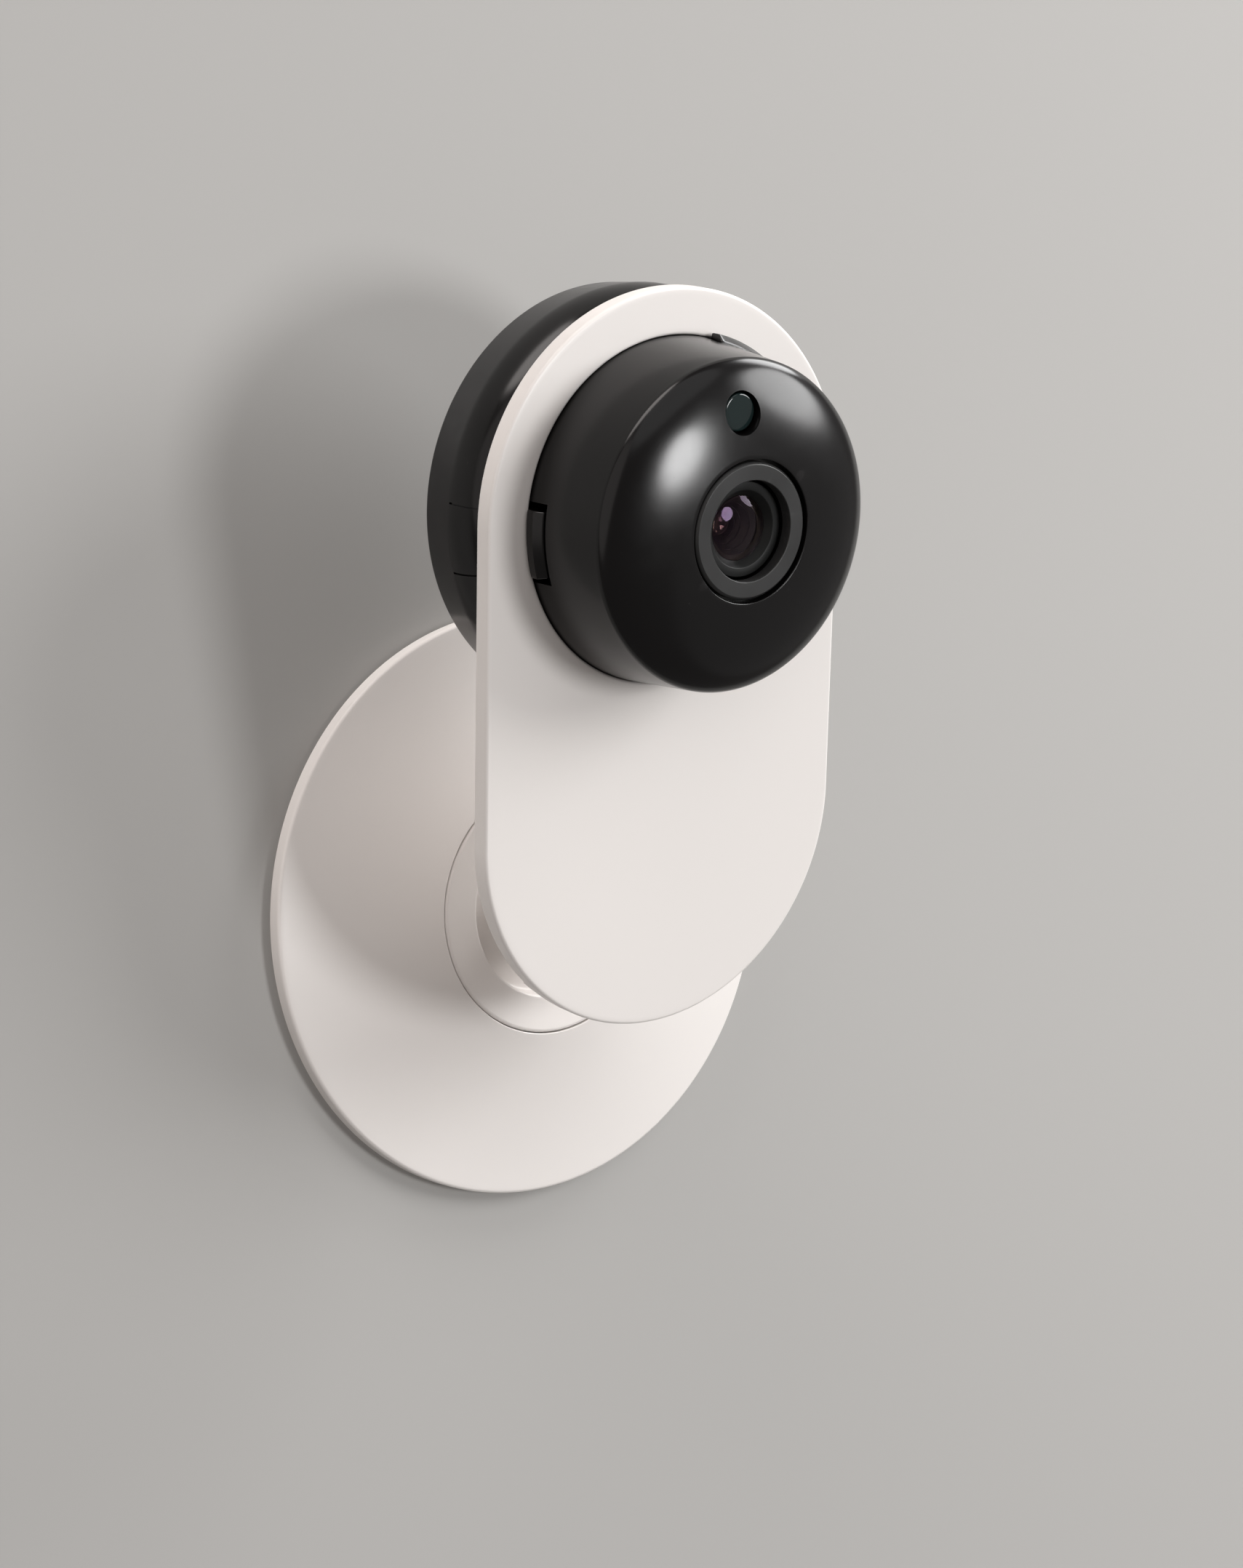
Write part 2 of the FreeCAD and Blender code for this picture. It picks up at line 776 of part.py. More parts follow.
def make_front_shell():
    groove = bezel_radius + bezel_groove
    collar = groove + dome_wall
    inner_radius = dome_radius - dome_wall
    inner_start = dome_start - dome_rim_wall
    inner_height = dome_height - dome_crown_wall
    inner_bend = inner_radius * dome_bend_share
    seat_back = bezel_seat - bezel_wall
    lens_hole = bezel_bore_radius + easy_gap
    profile = [
        (barrel_radius - barrel_wall, barrel_rear_depth),
        (barrel_radius, barrel_rear_depth),
        (barrel_radius, -face_gap),
        (dome_radius, -dome_start)]
    profile += bowl(dome_radius, dome_height, -dome_start, groove)
    profile += [
        (groove, -bezel_seat),
        (lens_hole, -bezel_seat),
        (lens_hole, -seat_back),
        (collar, -seat_back)]
    inside = [
        (collar, bowl_y(inner_radius, inner_height, -inner_start, collar)),
        (inner_bend, bowl_y(inner_radius, inner_height, -inner_start, inner_bend)),
        (inner_radius, -inner_start)]
    shell = turned(profile + inside)
    boss_front = bowl_y(inner_radius, inner_height, -inner_start, sensor_boss_circle) - dome_wall / 2
    start, end = boss_points(sensor_boss_circle, boss_front, sensor_board_front)
    bosses = ring_of(rod(sensor_boss_radius, start, end), board_boss_count, board_boss_angle)
    start, end = boss_points(shell_screw_circle, barrel_rear_depth - shell_boss_length, barrel_rear_depth)
    bosses += ring_of(rod(shell_boss_radius, start, end), hook_count, shell_screw_angle)
    window_edge = bowl_y(dome_radius, dome_height, -dome_start, window_offset + window_flange_radius)
    bosses.append(rod(window_flange_radius + dome_wall / 2, V(0, -window_flange_seat, window_offset),
                      V(0, window_edge + dome_wall / 4, window_offset)))
    shell = fused(shell, bosses)
    hole_floor = barrel_rear_depth - shell_screw_bite - screw_tip_gap
    start, end = boss_points(shell_screw_circle, hole_floor, barrel_rear_depth)
    cutters = ring_of(rod(small_screw_radius + screw_gap, start, end), hook_count, shell_screw_angle)
    cutters.append(rod(window_hole_radius, V(0, -2 * bezel_seat, window_offset),
                       V(0, -window_flange_seat, window_offset)))
    cutters.append(rod(window_flange_radius + running_gap, V(0, -window_flange_seat, window_offset),
                       V(0, 0, window_offset)))
    cutters.append(rod(mic_hole_radius, V(0, -mic_depth, -2 * barrel_radius),
                       V(0, -mic_depth, -inner_radius / 2)))
    notch = block(barrel_radius - 2 * barrel_wall, 2 * barrel_radius, -notch_front, barrel_rear_depth,
                  -notch_width / 2, notch_width / 2)
    cutters += ring_of(notch, hook_count, hook_first_angle)
    return shell.cut(cutters)


# Rear housing with its snap hooks

def shoulder(offset):
    """Outer profile of the housing's rounded shoulder, moved inwards by offset."""
    share = housing_shoulder_share
    middle_radius = housing_neck_radius + (housing_radius - housing_neck_radius) * share
    middle_depth = housing_edge_depth - (housing_edge_depth - housing_front) * share
    return [(housing_neck_radius, housing_front + offset),
            ((middle_radius - offset * share, middle_depth + offset * share),
             (housing_radius - offset, housing_edge_depth))]


def around_cover(shape):
    """Copies at the places of the rear cover's screws."""
    return ring_of(shape, cover_screw_count, cover_screw_angle)


def make_rear_housing():
    opening = barrel_radius + running_gap
    recess = cover_radius + easy_gap
    back = housing_back_depth + housing_back_bevel
    ledge_inner = recess - cover_ledge_width
    ledge_front = cover_seat - cover_ledge_thickness
    profile = [(opening, housing_front)] + shoulder(0) + [
        (housing_back_radius, housing_back_depth),
        (housing_back_radius - housing_back_bevel, back),
        (recess, back),
        (recess, cover_seat),
        (ledge_inner, cover_seat),
        (ledge_inner, ledge_front),
        (cavity_radius, ledge_front),
        (cavity_radius, housing_edge_depth),
        (cavity_radius - housing_wall / 2, flange_back),
        (housing_flange_bore, flange_back),
        (housing_flange_bore, barrel_rear_depth),
        (opening, barrel_rear_depth)]
    body = turned(profile)
    hook_outer = plate_hole_radius - face_gap / 2
    hook_inner = hook_outer - hook_thickness
    tip = hook_outer + hook_bite
    latch = turned([
        (hook_inner, flange_back - housing_flange_thickness / 2),
        (hook_outer, flange_back - housing_flange_thickness / 2),
        (hook_outer, -face_gap),
        (tip, -face_gap),
        (tip, -face_gap - hook_face_height),
        (hook_outer, -hook_front),
        (hook_inner, -hook_front)])
    tongue = latch.common(block(0, 2 * tip, -hook_front, back, -hook_width / 2, hook_width / 2))
    pieces = ring_of(tongue, hook_count, hook_first_angle)
    root = flange_back - housing_flange_thickness / 2
    start, end = boss_points(standoff_circle, root, main_board_front)
    pieces += ring_of(rod(standoff_radius, start, end), board_boss_count, board_boss_angle)
    start, end = boss_points(cover_screw_circle, root, cover_seat)
    pieces += around_cover(rod(cover_boss_radius, start, end))
    body = fused(body, pieces)
    start, end = boss_points(cover_screw_circle, cover_seat - cover_screw_bite - screw_tip_gap, cover_seat)
    cutters = around_cover(rod(cover_screw_hole, start, end))
    start, end = boss_points(shell_screw_circle, barrel_rear_depth, flange_back)
    shell_screw_hole = rod(small_screw_radius + 2 * screw_gap, start, end)
    cutters += ring_of(shell_screw_hole, hook_count, shell_screw_angle)
    half = card_slot_length / 2
    slot_front = main_board_back + (card_socket_height - card_slot_height) / 2
    cutters.append(block(card_socket_outer, 2 * housing_radius, slot_front, slot_front + card_slot_height,
                         -half, half))
    skin = turned(shoulder(-slit_depth) + [(0, housing_edge_depth), (0, housing_front - slit_depth)])
    core = turned(shoulder(slit_depth) + [(0, housing_edge_depth), (0, housing_front + slit_depth)])
    layer = skin.cut(core)
    for side in (-1, 1):
        middle = side * (hook_width / 2 + slit_width)
        slit = block(opening + slit_depth, 2 * housing_radius, -hook_front, housing_edge_depth,
                     middle - slit_width / 2, middle + slit_width / 2).common(layer)
        cutters += ring_of(slit, hook_count, hook_first_angle)
    return body.cut(cutters)


# Rear cover

def grille_points():
    """Hole centres of the speaker grille: a hole in the middle and rings of six, twelve and so on."""
    points = [(0, speaker_offset)]
    for ring in range(1, grille_rings + 1):
        for index in range(6 * ring):
            angle = math.radians(60 * index / ring)
            points.append((ring * grille_pitch * math.cos(angle),
                           speaker_offset + ring * grille_pitch * math.sin(angle)))
    return points


def make_rear_cover():
    inner_radius = cover_radius - cover_wall
    inner_start = cover_rim_back - cover_wall
    cover = turned([
        (inner_radius, cover_seat),
        (cover_radius, cover_seat),
        (cover_radius, cover_rim_back),
        (cover_face_radius, cover_back),
        (0, cover_back),
        (0, cover_inner_face),
        (cover_face_radius, cover_inner_face),
        (inner_radius, max(inner_start, cover_seat))])
    ring_inner = speaker_radius + easy_gap
    centre = V(0, speaker_back - speaker_ring_depth, speaker_offset)
    top = V(0, cover_back - cover_wall / 2, speaker_offset)
    speaker_ring = rod(ring_inner + speaker_ring_wall, centre, top).cut(rod(ring_inner, centre, top))
    start, end = boss_points(cover_screw_circle, cover_seat, cover_rim_back)
    pads = around_cover(rod(cover_boss_radius, start, end))
    tube_front = V(button_across, button_flange_back + face_gap, -button_down)
    tube_back = V(button_across, cover_back - cover_wall / 2, -button_down)
    tube = rod(button_radius + running_gap + button_tube_wall, tube_front, tube_back)
    cover = fused(cover, [speaker_ring, tube] + pads)
    cutters = []
    for across, up in grille_points():
        cutters.append(rod(grille_hole_radius, V(across, speaker_back, up), V(across, 2 * cover_back, up)))
    half_length = usb_length / 2 + usb_opening_margin
    half_width = usb_width / 2 + usb_opening_margin
    cutters.append(block(-half_length, half_length, cover_seat, 2 * cover_back,
                         -usb_offset - half_width, -usb_offset + half_width))
    tube_end = V(button_across, 2 * cover_back, -button_down)
    cutters.append(rod(button_radius + running_gap, tube_front, tube_end))
    face, tip = cover_screw_points()
    cutters += around_cover(rod(cover_screw_hole, tip, face))
    head_top = V(cover_screw_circle, 2 * cover_back, 0)
    cutters += around_cover(rod(small_screw_radius * screw_head_ratio + easy_gap, face, head_top))
    return cover.cut(cutters)


def cover_screw_points():
    """Seat and tip of one cover screw."""
    seat = V(cover_screw_circle, cover_rim_back - screw_head_height / 2, 0)
    return seat, V(cover_screw_circle, cover_seat - cover_screw_bite, 0)


# Lens

def make_lens_bezel():
    bevel = bezel_bevel
    lip = bevel / 2
    return turned([
        (bezel_bore_radius, -bezel_seat),
        (bezel_radius, -bezel_seat),
        (bezel_radius, -bezel_face + bevel),
        (bezel_radius - bevel, -bezel_face),
        (bezel_bore_radius + lip, -bezel_face),
        (bezel_bore_radius, -bezel_face + lip)])


def rear_glass_seat():
    """Depth of the step that the rear glass rests on."""
    return lens_barrel_rear + lens_rear_glass_thickness + easy_gap


def make_lens_barrel():
    bore = lens_glass_radius + lens_thread_gap
    glass_back = lens_glass_edge - lens_glass_thickness
    rear_bore = lens_rear_glass_radius + lens_thread_gap
    return turned([
        (rear_bore, -lens_barrel_rear),
        (lens_barrel_radius, -lens_barrel_rear),
        (lens_barrel_radius, -lens_barrel_front + bezel_bevel / 2),
        (lens_barrel_radius - bezel_bevel / 2, -lens_barrel_front),
        (lens_front_rim, -lens_barrel_front),
        (bore, -lens_glass_edge),
        (bore, -glass_back),
        (lens_stop_radius, -glass_back),
        (lens_stop_radius, -rear_glass_seat()),
        (rear_bore, -rear_glass_seat())])


def make_front_lens():
    radius = lens_glass_radius
    back = lens_glass_edge - lens_glass_thickness
    inner = lens_arc(radius, -back, -lens_glass_inner_crown)
    return turned([
        inner[1],
        (inner[0], (radius, -back)),
        (radius, -lens_glass_edge),
        lens_arc(radius, -lens_glass_edge, -lens_glass_crown)])


def make_rear_lens():
    radius = lens_rear_glass_radius
    front = rear_glass_seat()
    back = front - lens_rear_glass_thickness
    crown = lens_rear_glass_crown
    return turned([
        (0, -front),
        (radius, -front),
        (radius, -back - crown),
        lens_arc(radius, -back - crown, crown)])


def make_lens_holder():
    front = sensor_board_front - holder_height
    box = block(-holder_half_length, holder_half_length, front, sensor_board_front,
                -holder_half_width, holder_half_width)
    uprights = [edge for edge in box.Edges if edge.BoundBox.YLength > holder_height / 2]
    box = box.makeFillet(holder_wall, uprights)
    collar = rod(holder_collar_radius, V(0, -holder_collar_front, 0), V(0, front, 0))
    body = fused(box, [collar])
    room = filter_thickness / 2 + easy_gap
    end = holder_half_length - holder_wall
    channel = block(-end, end, filter_middle - room, filter_middle + room,
                    -filter_frame_half_width - easy_gap, filter_frame_half_width + easy_gap)
    half_length = image_sensor_length / 2 + easy_gap
    half_width = image_sensor_width / 2 + easy_gap
    sensor_room = block(-half_length, half_length, filter_middle, sensor_board_front,
                        -half_width, half_width)
    thread = rod(lens_barrel_radius + lens_thread_gap, V(0, -2 * holder_collar_front, 0),
                 V(0, -lens_barrel_rear + face_gap, 0))
    aperture = rod(holder_aperture_radius, V(0, -holder_collar_front, 0), V(0, filter_middle, 0))
    return body.cut([channel, sensor_room, thread, aperture])


def filter_start():
    """Left end of the filter frame at rest, with the first pane behind the lens."""
    return -(filter_frame_length - filter_travel) / 2


def pane_box(centre, margin):
    """Volume of one filter pane."""
    half_width = filter_pane_width / 2 + margin
    half_height = filter_pane_height / 2 + margin
    half = filter_thickness / 2 + margin
    return block(centre - half_width, centre + half_width, filter_middle - half, filter_middle + half,
                 -half_height, half_height)


def make_filter_slider():
    half = filter_thickness / 2
    frame = block(filter_start(), filter_start() + filter_frame_length, filter_middle - half,
                  filter_middle + half, -filter_frame_half_width, filter_frame_half_width)
    return frame.cut([pane_box(0, 0), pane_box(filter_travel, 0)])


def make_image_sensor():
    half_length = image_sensor_length / 2
    half_width = image_sensor_width / 2
    return block(-half_length, half_length, sensor_board_front - image_sensor_height, sensor_board_front,
                 -half_width, half_width)


def make_sensor_board():
    return turned([(0, sensor_board_front), (sensor_board_radius, sensor_board_front),
                   (sensor_board_radius, sensor_board_back), (0, sensor_board_back)])


def make_night_window():
    flange_back = window_flange_seat - window_flange_thickness
    rod_end = sensor_board_front - led_height - face_gap
    window = turned([
        (0, -window_face),
        (window_radius - slit_depth, -window_face),
        (window_radius, -window_face + slit_depth),
        (window_radius, -window_flange_seat),
        (window_flange_radius, -window_flange_seat),
        (window_flange_radius, -flange_back),
        (window_rod_radius, -flange_back),
        (window_rod_radius, rod_end),
        (0, rod_end)])
    window.translate(V(0, 0, window_offset))
    return window


def make_night_led():
    base = block(-led_length / 2, led_length / 2, sensor_board_front - led_height / 2, sensor_board_front,
                 window_offset - led_width / 2, window_offset + led_width / 2)
    tip = V(0, sensor_board_front - led_height, window_offset)
    lens = rod(led_lens_radius, tip, tip + V(0, led_height / 2, 0))
    return base.fuse(lens).removeSplitter()


def make_filter_coil():
    low = -holder_collar_radius - face_gap
    return block(-coil_length / 2, coil_length / 2, sensor_board_front - coil_height, sensor_board_front,
                 low - coil_width, low)


def make_microphone():
    share = (dome_start - mic_depth) / (dome_start + barrel_rear_depth)
    wall_radius = dome_radius - dome_wall + share * (barrel_radius - barrel_wall - dome_radius + dome_wall)
    outer = math.sqrt(wall_radius ** 2 - mic_radius ** 2) - easy_gap
    return rod(mic_radius, V(0, -mic_depth, -outer), V(0, -mic_depth, mic_height - outer))


# Electronics in the rear housing

def make_main_board():
    return turned([(0, main_board_front), (main_board_radius, main_board_front),
                   (main_board_radius, main_board_back), (0, main_board_back)])


def make_shell_screws():
    seat, tip = boss_points(shell_screw_circle, flange_back, barrel_rear_depth - shell_screw_bite)
    return ring_of(cap_screw(small_screw_radius, seat, tip), hook_count, shell_screw_angle)


def make_rear_cover_screws():
    seat, tip = cover_screw_points()
    return around_cover(cap_screw(small_screw_radius, seat, tip))


def make_shield_can():
    half = shield_size / 2
    can = block(-half, half, main_board_front - shield_height, main_board_front,
                shield_offset - half, shield_offset + half)
    uprights = [edge for edge in can.Edges if edge.BoundBox.YLength > shield_height / 2]
    return can.makeFillet(shield_corner, uprights)


def make_usb_socket():
    half_length = usb_length / 2
    half_width = usb_width / 2
    back = cover_back - usb_sink
    body = block(-half_length, half_length, main_board_back, back,
                 -usb_offset - half_width, -usb_offset + half_width)
    wall = usb_wall
    mouth_front = back - usb_mouth_depth
    mouth = block(-half_length + wall, half_length - wall, mouth_front, back,
                  -usb_offset - half_width + wall, -usb_offset + half_width - wall)
    tongue = block(-half_length + 3 * wall, half_length - 3 * wall, mouth_front, back - wall,
                   -usb_offset - wall / 2, -usb_offset + wall / 2)
    return body.cut(mouth).fuse(tongue).removeSplitter()


def make_card_socket():
    half = card_socket_half_width
    back = main_board_back + card_socket_height
    body = block(card_socket_inner, card_socket_outer, main_board_back, back, -half, half)
    wall = card_socket_wall
    mouth = block(card_socket_inner + 2 * wall, card_socket_outer, main_board_back + wall, back - wall,
                  2 * wall - half, half - 2 * wall)
    return body.cut(mouth)


def make_antenna():
    return block(-antenna_length / 2, antenna_length / 2, main_board_back, main_board_back + antenna_height,
                 antenna_offset - antenna_width / 2, antenna_offset + antenna_width / 2)


def make_flex_connectors():
    half = flex_plug_length / 2
    near = -flex_plug_offset + flex_plug_width
    front_plug = block(-half, half, sensor_board_back, sensor_board_back + flex_plug_height,
                       -flex_plug_offset, near)
    rear_plug = block(-half, half, main_board_front - flex_plug_height, main_board_front,
                      -flex_plug_offset, near)
    return [front_plug, rear_plug]


def make_flex_cable():
    front = sensor_board_back + flex_plug_height / 2
    back = main_board_front - flex_plug_height / 2
    middle = (front + back) / 2
    half = flex_thickness / 2
    outer = (back - front) / 2 + half
    inner = outer - flex_thickness
    start = -flex_plug_offset
    bend = start - flex_thickness
    edges = [
        Part.LineSegment(V(0, front - half, start), V(0, front - half, bend)).toShape(),
        Part.Arc(V(0, front - half, bend), V(0, middle, bend - outer), V(0, back + half, bend)).toShape(),
        Part.LineSegment(V(0, back + half, bend), V(0, back + half, start)).toShape(),
        Part.LineSegment(V(0, back + half, start), V(0, back - half, start)).toShape(),
        Part.LineSegment(V(0, back - half, start), V(0, back - half, bend)).toShape(),
        Part.Arc(V(0, back - half, bend), V(0, middle, bend - inner), V(0, front + half, bend)).toShape(),
        Part.LineSegment(V(0, front + half, bend), V(0, front + half, start)).toShape(),
        Part.LineSegment(V(0, front + half, start), V(0, front - half, start)).toShape()]
    strip = Part.Face(Part.Wire(edges)).extrude(V(flex_width, 0, 0))
    strip.translate(V(-flex_width / 2, 0, 0))
    return strip


def make_speaker():
    back = speaker_back
    front = back - speaker_depth
    edge = speaker_edge
    driver = turned([
        (0, front - speaker_magnet_depth),
        (speaker_magnet_radius, front - speaker_magnet_depth),
        (speaker_magnet_radius, front),
        (speaker_radius, front),
        (speaker_radius, back - edge),
        (speaker_radius - edge, back),
        (speaker_cone_radius, back),
        (speaker_cap_radius, back - 3 * edge),
        (0, back - 2 * edge)])
    driver.translate(V(0, 0, speaker_offset))
    return driver


def make_reset_switch():
    half = switch_size / 2
    body = block(button_across - half, button_across + half, main_board_back,
                 main_board_back + switch_height, -button_down - half, -button_down + half)
    base = V(button_across, main_board_back + switch_height, -button_down)
    return body.fuse(rod(plunger_radius, base, base + V(0, plunger_height, 0))).removeSplitter()


def make_reset_button():
    face = cover_back - button_sink
    button = turned([
        (0, button_flange_front),
        (button_flange_radius, button_flange_front),
        (button_flange_radius, button_flange_back),
        (button_radius, button_flange_back),
        (button_radius, face - button_sink),
        (button_radius - button_sink, face),
        (0, face)])
    button.translate(V(button_across, 0, -button_down))
    return button


# Every node of the wall base and the turntable
save("base_disc", make_base_disc())
save("base_cover", make_base_cover())
save("base_cover_screws", make_base_cover_screws())
save("base_pad", make_base_pad())
save("base_weight", make_base_weight())
save("turntable", make_turntable())
save("swivel_retainer", make_swivel_retainer())
save("swivel_screws", make_swivel_screws())
save("swivel_washer", make_swivel_washer())
save("hinge_bolt", make_hinge_bolt())
save("hinge_nut", make_hinge_nut())
save("hinge_washers", make_hinge_washers())

# Every node of the plate
save("holder_plate", on_holder(make_holder_plate()))
save("hinge_arm", on_holder(make_hinge_arm()))
save("arm_screws", [on_holder(screw) for screw in make_arm_screws()])

# Every node of the camera head
camera_nodes = {
    "front_shell": make_front_shell,
    "rear_housing": make_rear_housing,
    "rear_cover": make_rear_cover,
    "rear_cover_screws": make_rear_cover_screws,
    "shell_screws": make_shell_screws,
    "lens_bezel": make_lens_bezel,
    "lens_barrel": make_lens_barrel,
    "front_lens": make_front_lens,
    "rear_lens": make_rear_lens,
    "lens_holder": make_lens_holder,
    "filter_slider": make_filter_slider,
    "day_pane": lambda: pane_box(0, 0),
    "night_pane": lambda: pane_box(filter_travel, 0),
    "filter_coil": make_filter_coil,
    "image_sensor": make_image_sensor,
    "sensor_board": make_sensor_board,
    "night_window": make_night_window,
    "night_led": make_night_led,
    "microphone": make_microphone,
    "flex_cable": make_flex_cable,
    "flex_connectors": make_flex_connectors,
    "main_board": make_main_board,
    "shield_can": make_shield_can,
    "antenna": make_antenna,
    "card_socket": make_card_socket,
    "usb_socket": make_usb_socket,
    "reset_switch": make_reset_switch,
    "reset_button": make_reset_button,
    "speaker": make_speaker}
for name, make in camera_nodes.items():
    shape = make()
    if isinstance(shape, list):
        save(name, [on_camera(piece) for piece in shape])
    else:
        save(name, on_camera(shape))
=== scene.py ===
import json
import math

import bmesh
import bpy
from bpy.props import FloatProperty, FloatVectorProperty, IntProperty, PointerProperty
from bpy.types import Operator, Panel, PropertyGroup
from mathutils import Matrix, Vector


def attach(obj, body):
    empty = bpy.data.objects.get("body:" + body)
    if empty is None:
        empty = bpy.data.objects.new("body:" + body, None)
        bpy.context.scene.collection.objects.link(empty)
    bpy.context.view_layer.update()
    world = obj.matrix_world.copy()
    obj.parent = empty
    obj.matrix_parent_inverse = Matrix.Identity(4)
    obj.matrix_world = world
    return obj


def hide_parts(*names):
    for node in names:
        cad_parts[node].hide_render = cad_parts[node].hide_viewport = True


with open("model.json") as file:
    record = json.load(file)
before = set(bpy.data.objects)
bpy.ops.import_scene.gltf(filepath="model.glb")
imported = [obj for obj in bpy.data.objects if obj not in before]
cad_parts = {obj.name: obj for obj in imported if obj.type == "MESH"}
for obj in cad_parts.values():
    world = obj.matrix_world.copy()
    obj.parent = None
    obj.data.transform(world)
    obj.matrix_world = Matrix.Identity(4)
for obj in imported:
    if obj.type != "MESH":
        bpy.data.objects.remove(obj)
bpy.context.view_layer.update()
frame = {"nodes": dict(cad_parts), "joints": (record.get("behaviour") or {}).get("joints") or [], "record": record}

bl_info = {
    "name": "Security camera on a round base",
    "version": (1, 0, 0),
    "blender": (4, 5, 0),
    "location": "View3D > Sidebar > Camera model",
    "description": "Builds the visible pieces and finishes of a small indoor security camera",
    "category": "Object",
}

MM = 0.001
JOINTS = {joint["name"]: joint for joint in frame["joints"]}
SIDEBAR = "Camera model"
UPRIGHT = Matrix.Rotation(math.pi / 2, 4, "X")

# Tolerances in metres, and the part of a unit normal that makes a face flat
TINY = 1e-6
MERGE_DISTANCE = 1e-7
RING_TOLERANCE = 2e-5
FLAT = 0.999

# Edges: the angle that is sharp, two fine roundings and how far wear reaches in from an edge
SHARP_ANGLE = math.radians(50)
FINE_ROUND = 0.06 * MM
HAIR_ROUND = 0.12 * MM
WEAR_REACH = 0.5 * MM

# How far a cutter goes past a piece, as a factor of the piece's size
OVERSHOOT = 1.2


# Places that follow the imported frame

def placement(across, depth, origin):
    """Matrix whose X runs across, whose Y is the depth and whose Z points up the piece."""
    up = across.cross(depth)
    matrix = Matrix((across, depth, up)).transposed().to_4x4()
    matrix.translation = origin
    return matrix


HOLE_CENTRE = Vector(JOINTS["camera_roll"]["pos_m"])
DEPTH = -Vector(JOINTS["camera_roll"]["axis"])
HOLDER = placement(Vector((1, 0, 0)), DEPTH, HOLE_CENTRE)
HEAD = placement(-Vector(JOINTS["filter_shift"]["axis"]), DEPTH, HOLE_CENTRE)
HINGE = Vector(JOINTS["arm_tilt"]["pos_m"])


# Sizes and colours that a user would change

def length(name, description, millimetres):
    """Length property with its default in millimetres."""
    return FloatProperty(name=name, description=description, default=millimetres * MM, min=0.0,
                         unit="LENGTH", precision=5)


def colour(name, description, red, green, blue):
    """Colour property."""
    return FloatVectorProperty(name=name, description=description, default=(red, green, blue), size=3,
                               subtype="COLOR", min=0.0, max=1.0)


class BaseSizes(PropertyGroup):
    """Round base and its turntable. Heights are measured from the wall."""
    radius: length("Radius", "Outer radius of the base", 40.0)
    rim_back: length("Rim back", "Gap between the rim and the wall", 0.4)
    rim_height: length("Rim height", "Height of the outer rim", 2.5)
    rim_round: length("Rim rounding", "Rounding of the outer rim", 0.45)
    hub_height: length("Hub height", "Height of the turntable's face", 7.6)
    hollow: length("Hollow", "How far the cone is hollowed between rim and hub", 0.5)
    seam_outer: length("Seam outer radius", "Edge of the base beside the turntable", 17.35)
    seam_inner: length("Seam inner radius", "Edge of the turntable", 17.2)
    collar_depth: length("Collar depth", "Depth of the seam", 2.2)
    cover_recess: length("Cover recess", "Radius of the recess for the bottom cover", 37.55)
    edge_round: length("Edge rounding", "Rounding of the turntable's outer edge", 0.45)
    well_radius: length("Well radius", "Radius of the round well in the turntable", 12.2)
    well_taper: length("Well taper", "How much narrower the well is at its floor", 0.4)
    well_depth: length("Well depth", "Depth of the round well", 3.2)
    foot_radius: length("Foot radius", "Radius of the post's foot", 7.5)
    foot_height: length("Foot height", "Height over which the foot narrows", 4.0)
    post_radius: length("Post radius", "Radius of the post and of the ears", 5.0)
    ear_outer: length("Ear outside", "Half the width over both ears", 6.35)
    ear_inner: length("Ear inside", "Half the width of the slot", 3.35)
    slot_floor: length("Slot floor", "Height of the slot's floor", 13.9)
    bolt_recess: length("Bolt recess", "Radius of the recess for the bolt's head", 2.75)
    bolt_depth: length("Bolt recess depth", "Depth of the recess for the bolt's head", 1.2)


class PlateSizes(PropertyGroup):
    """Plate with two round ends."""
    half_width: length("Half width", "Radius of both ends", 28.0)
    centre_distance: length("Centre distance", "Distance between the centres of the ends", 39.9)
    thickness: length("Thickness", "Thickness of the plate", 2.7)
    edge_round: length("Edge rounding", "Rounding of all edges", 0.42)
    hole_radius: length("Hole radius", "Radius of the hole for the head", 22.08)


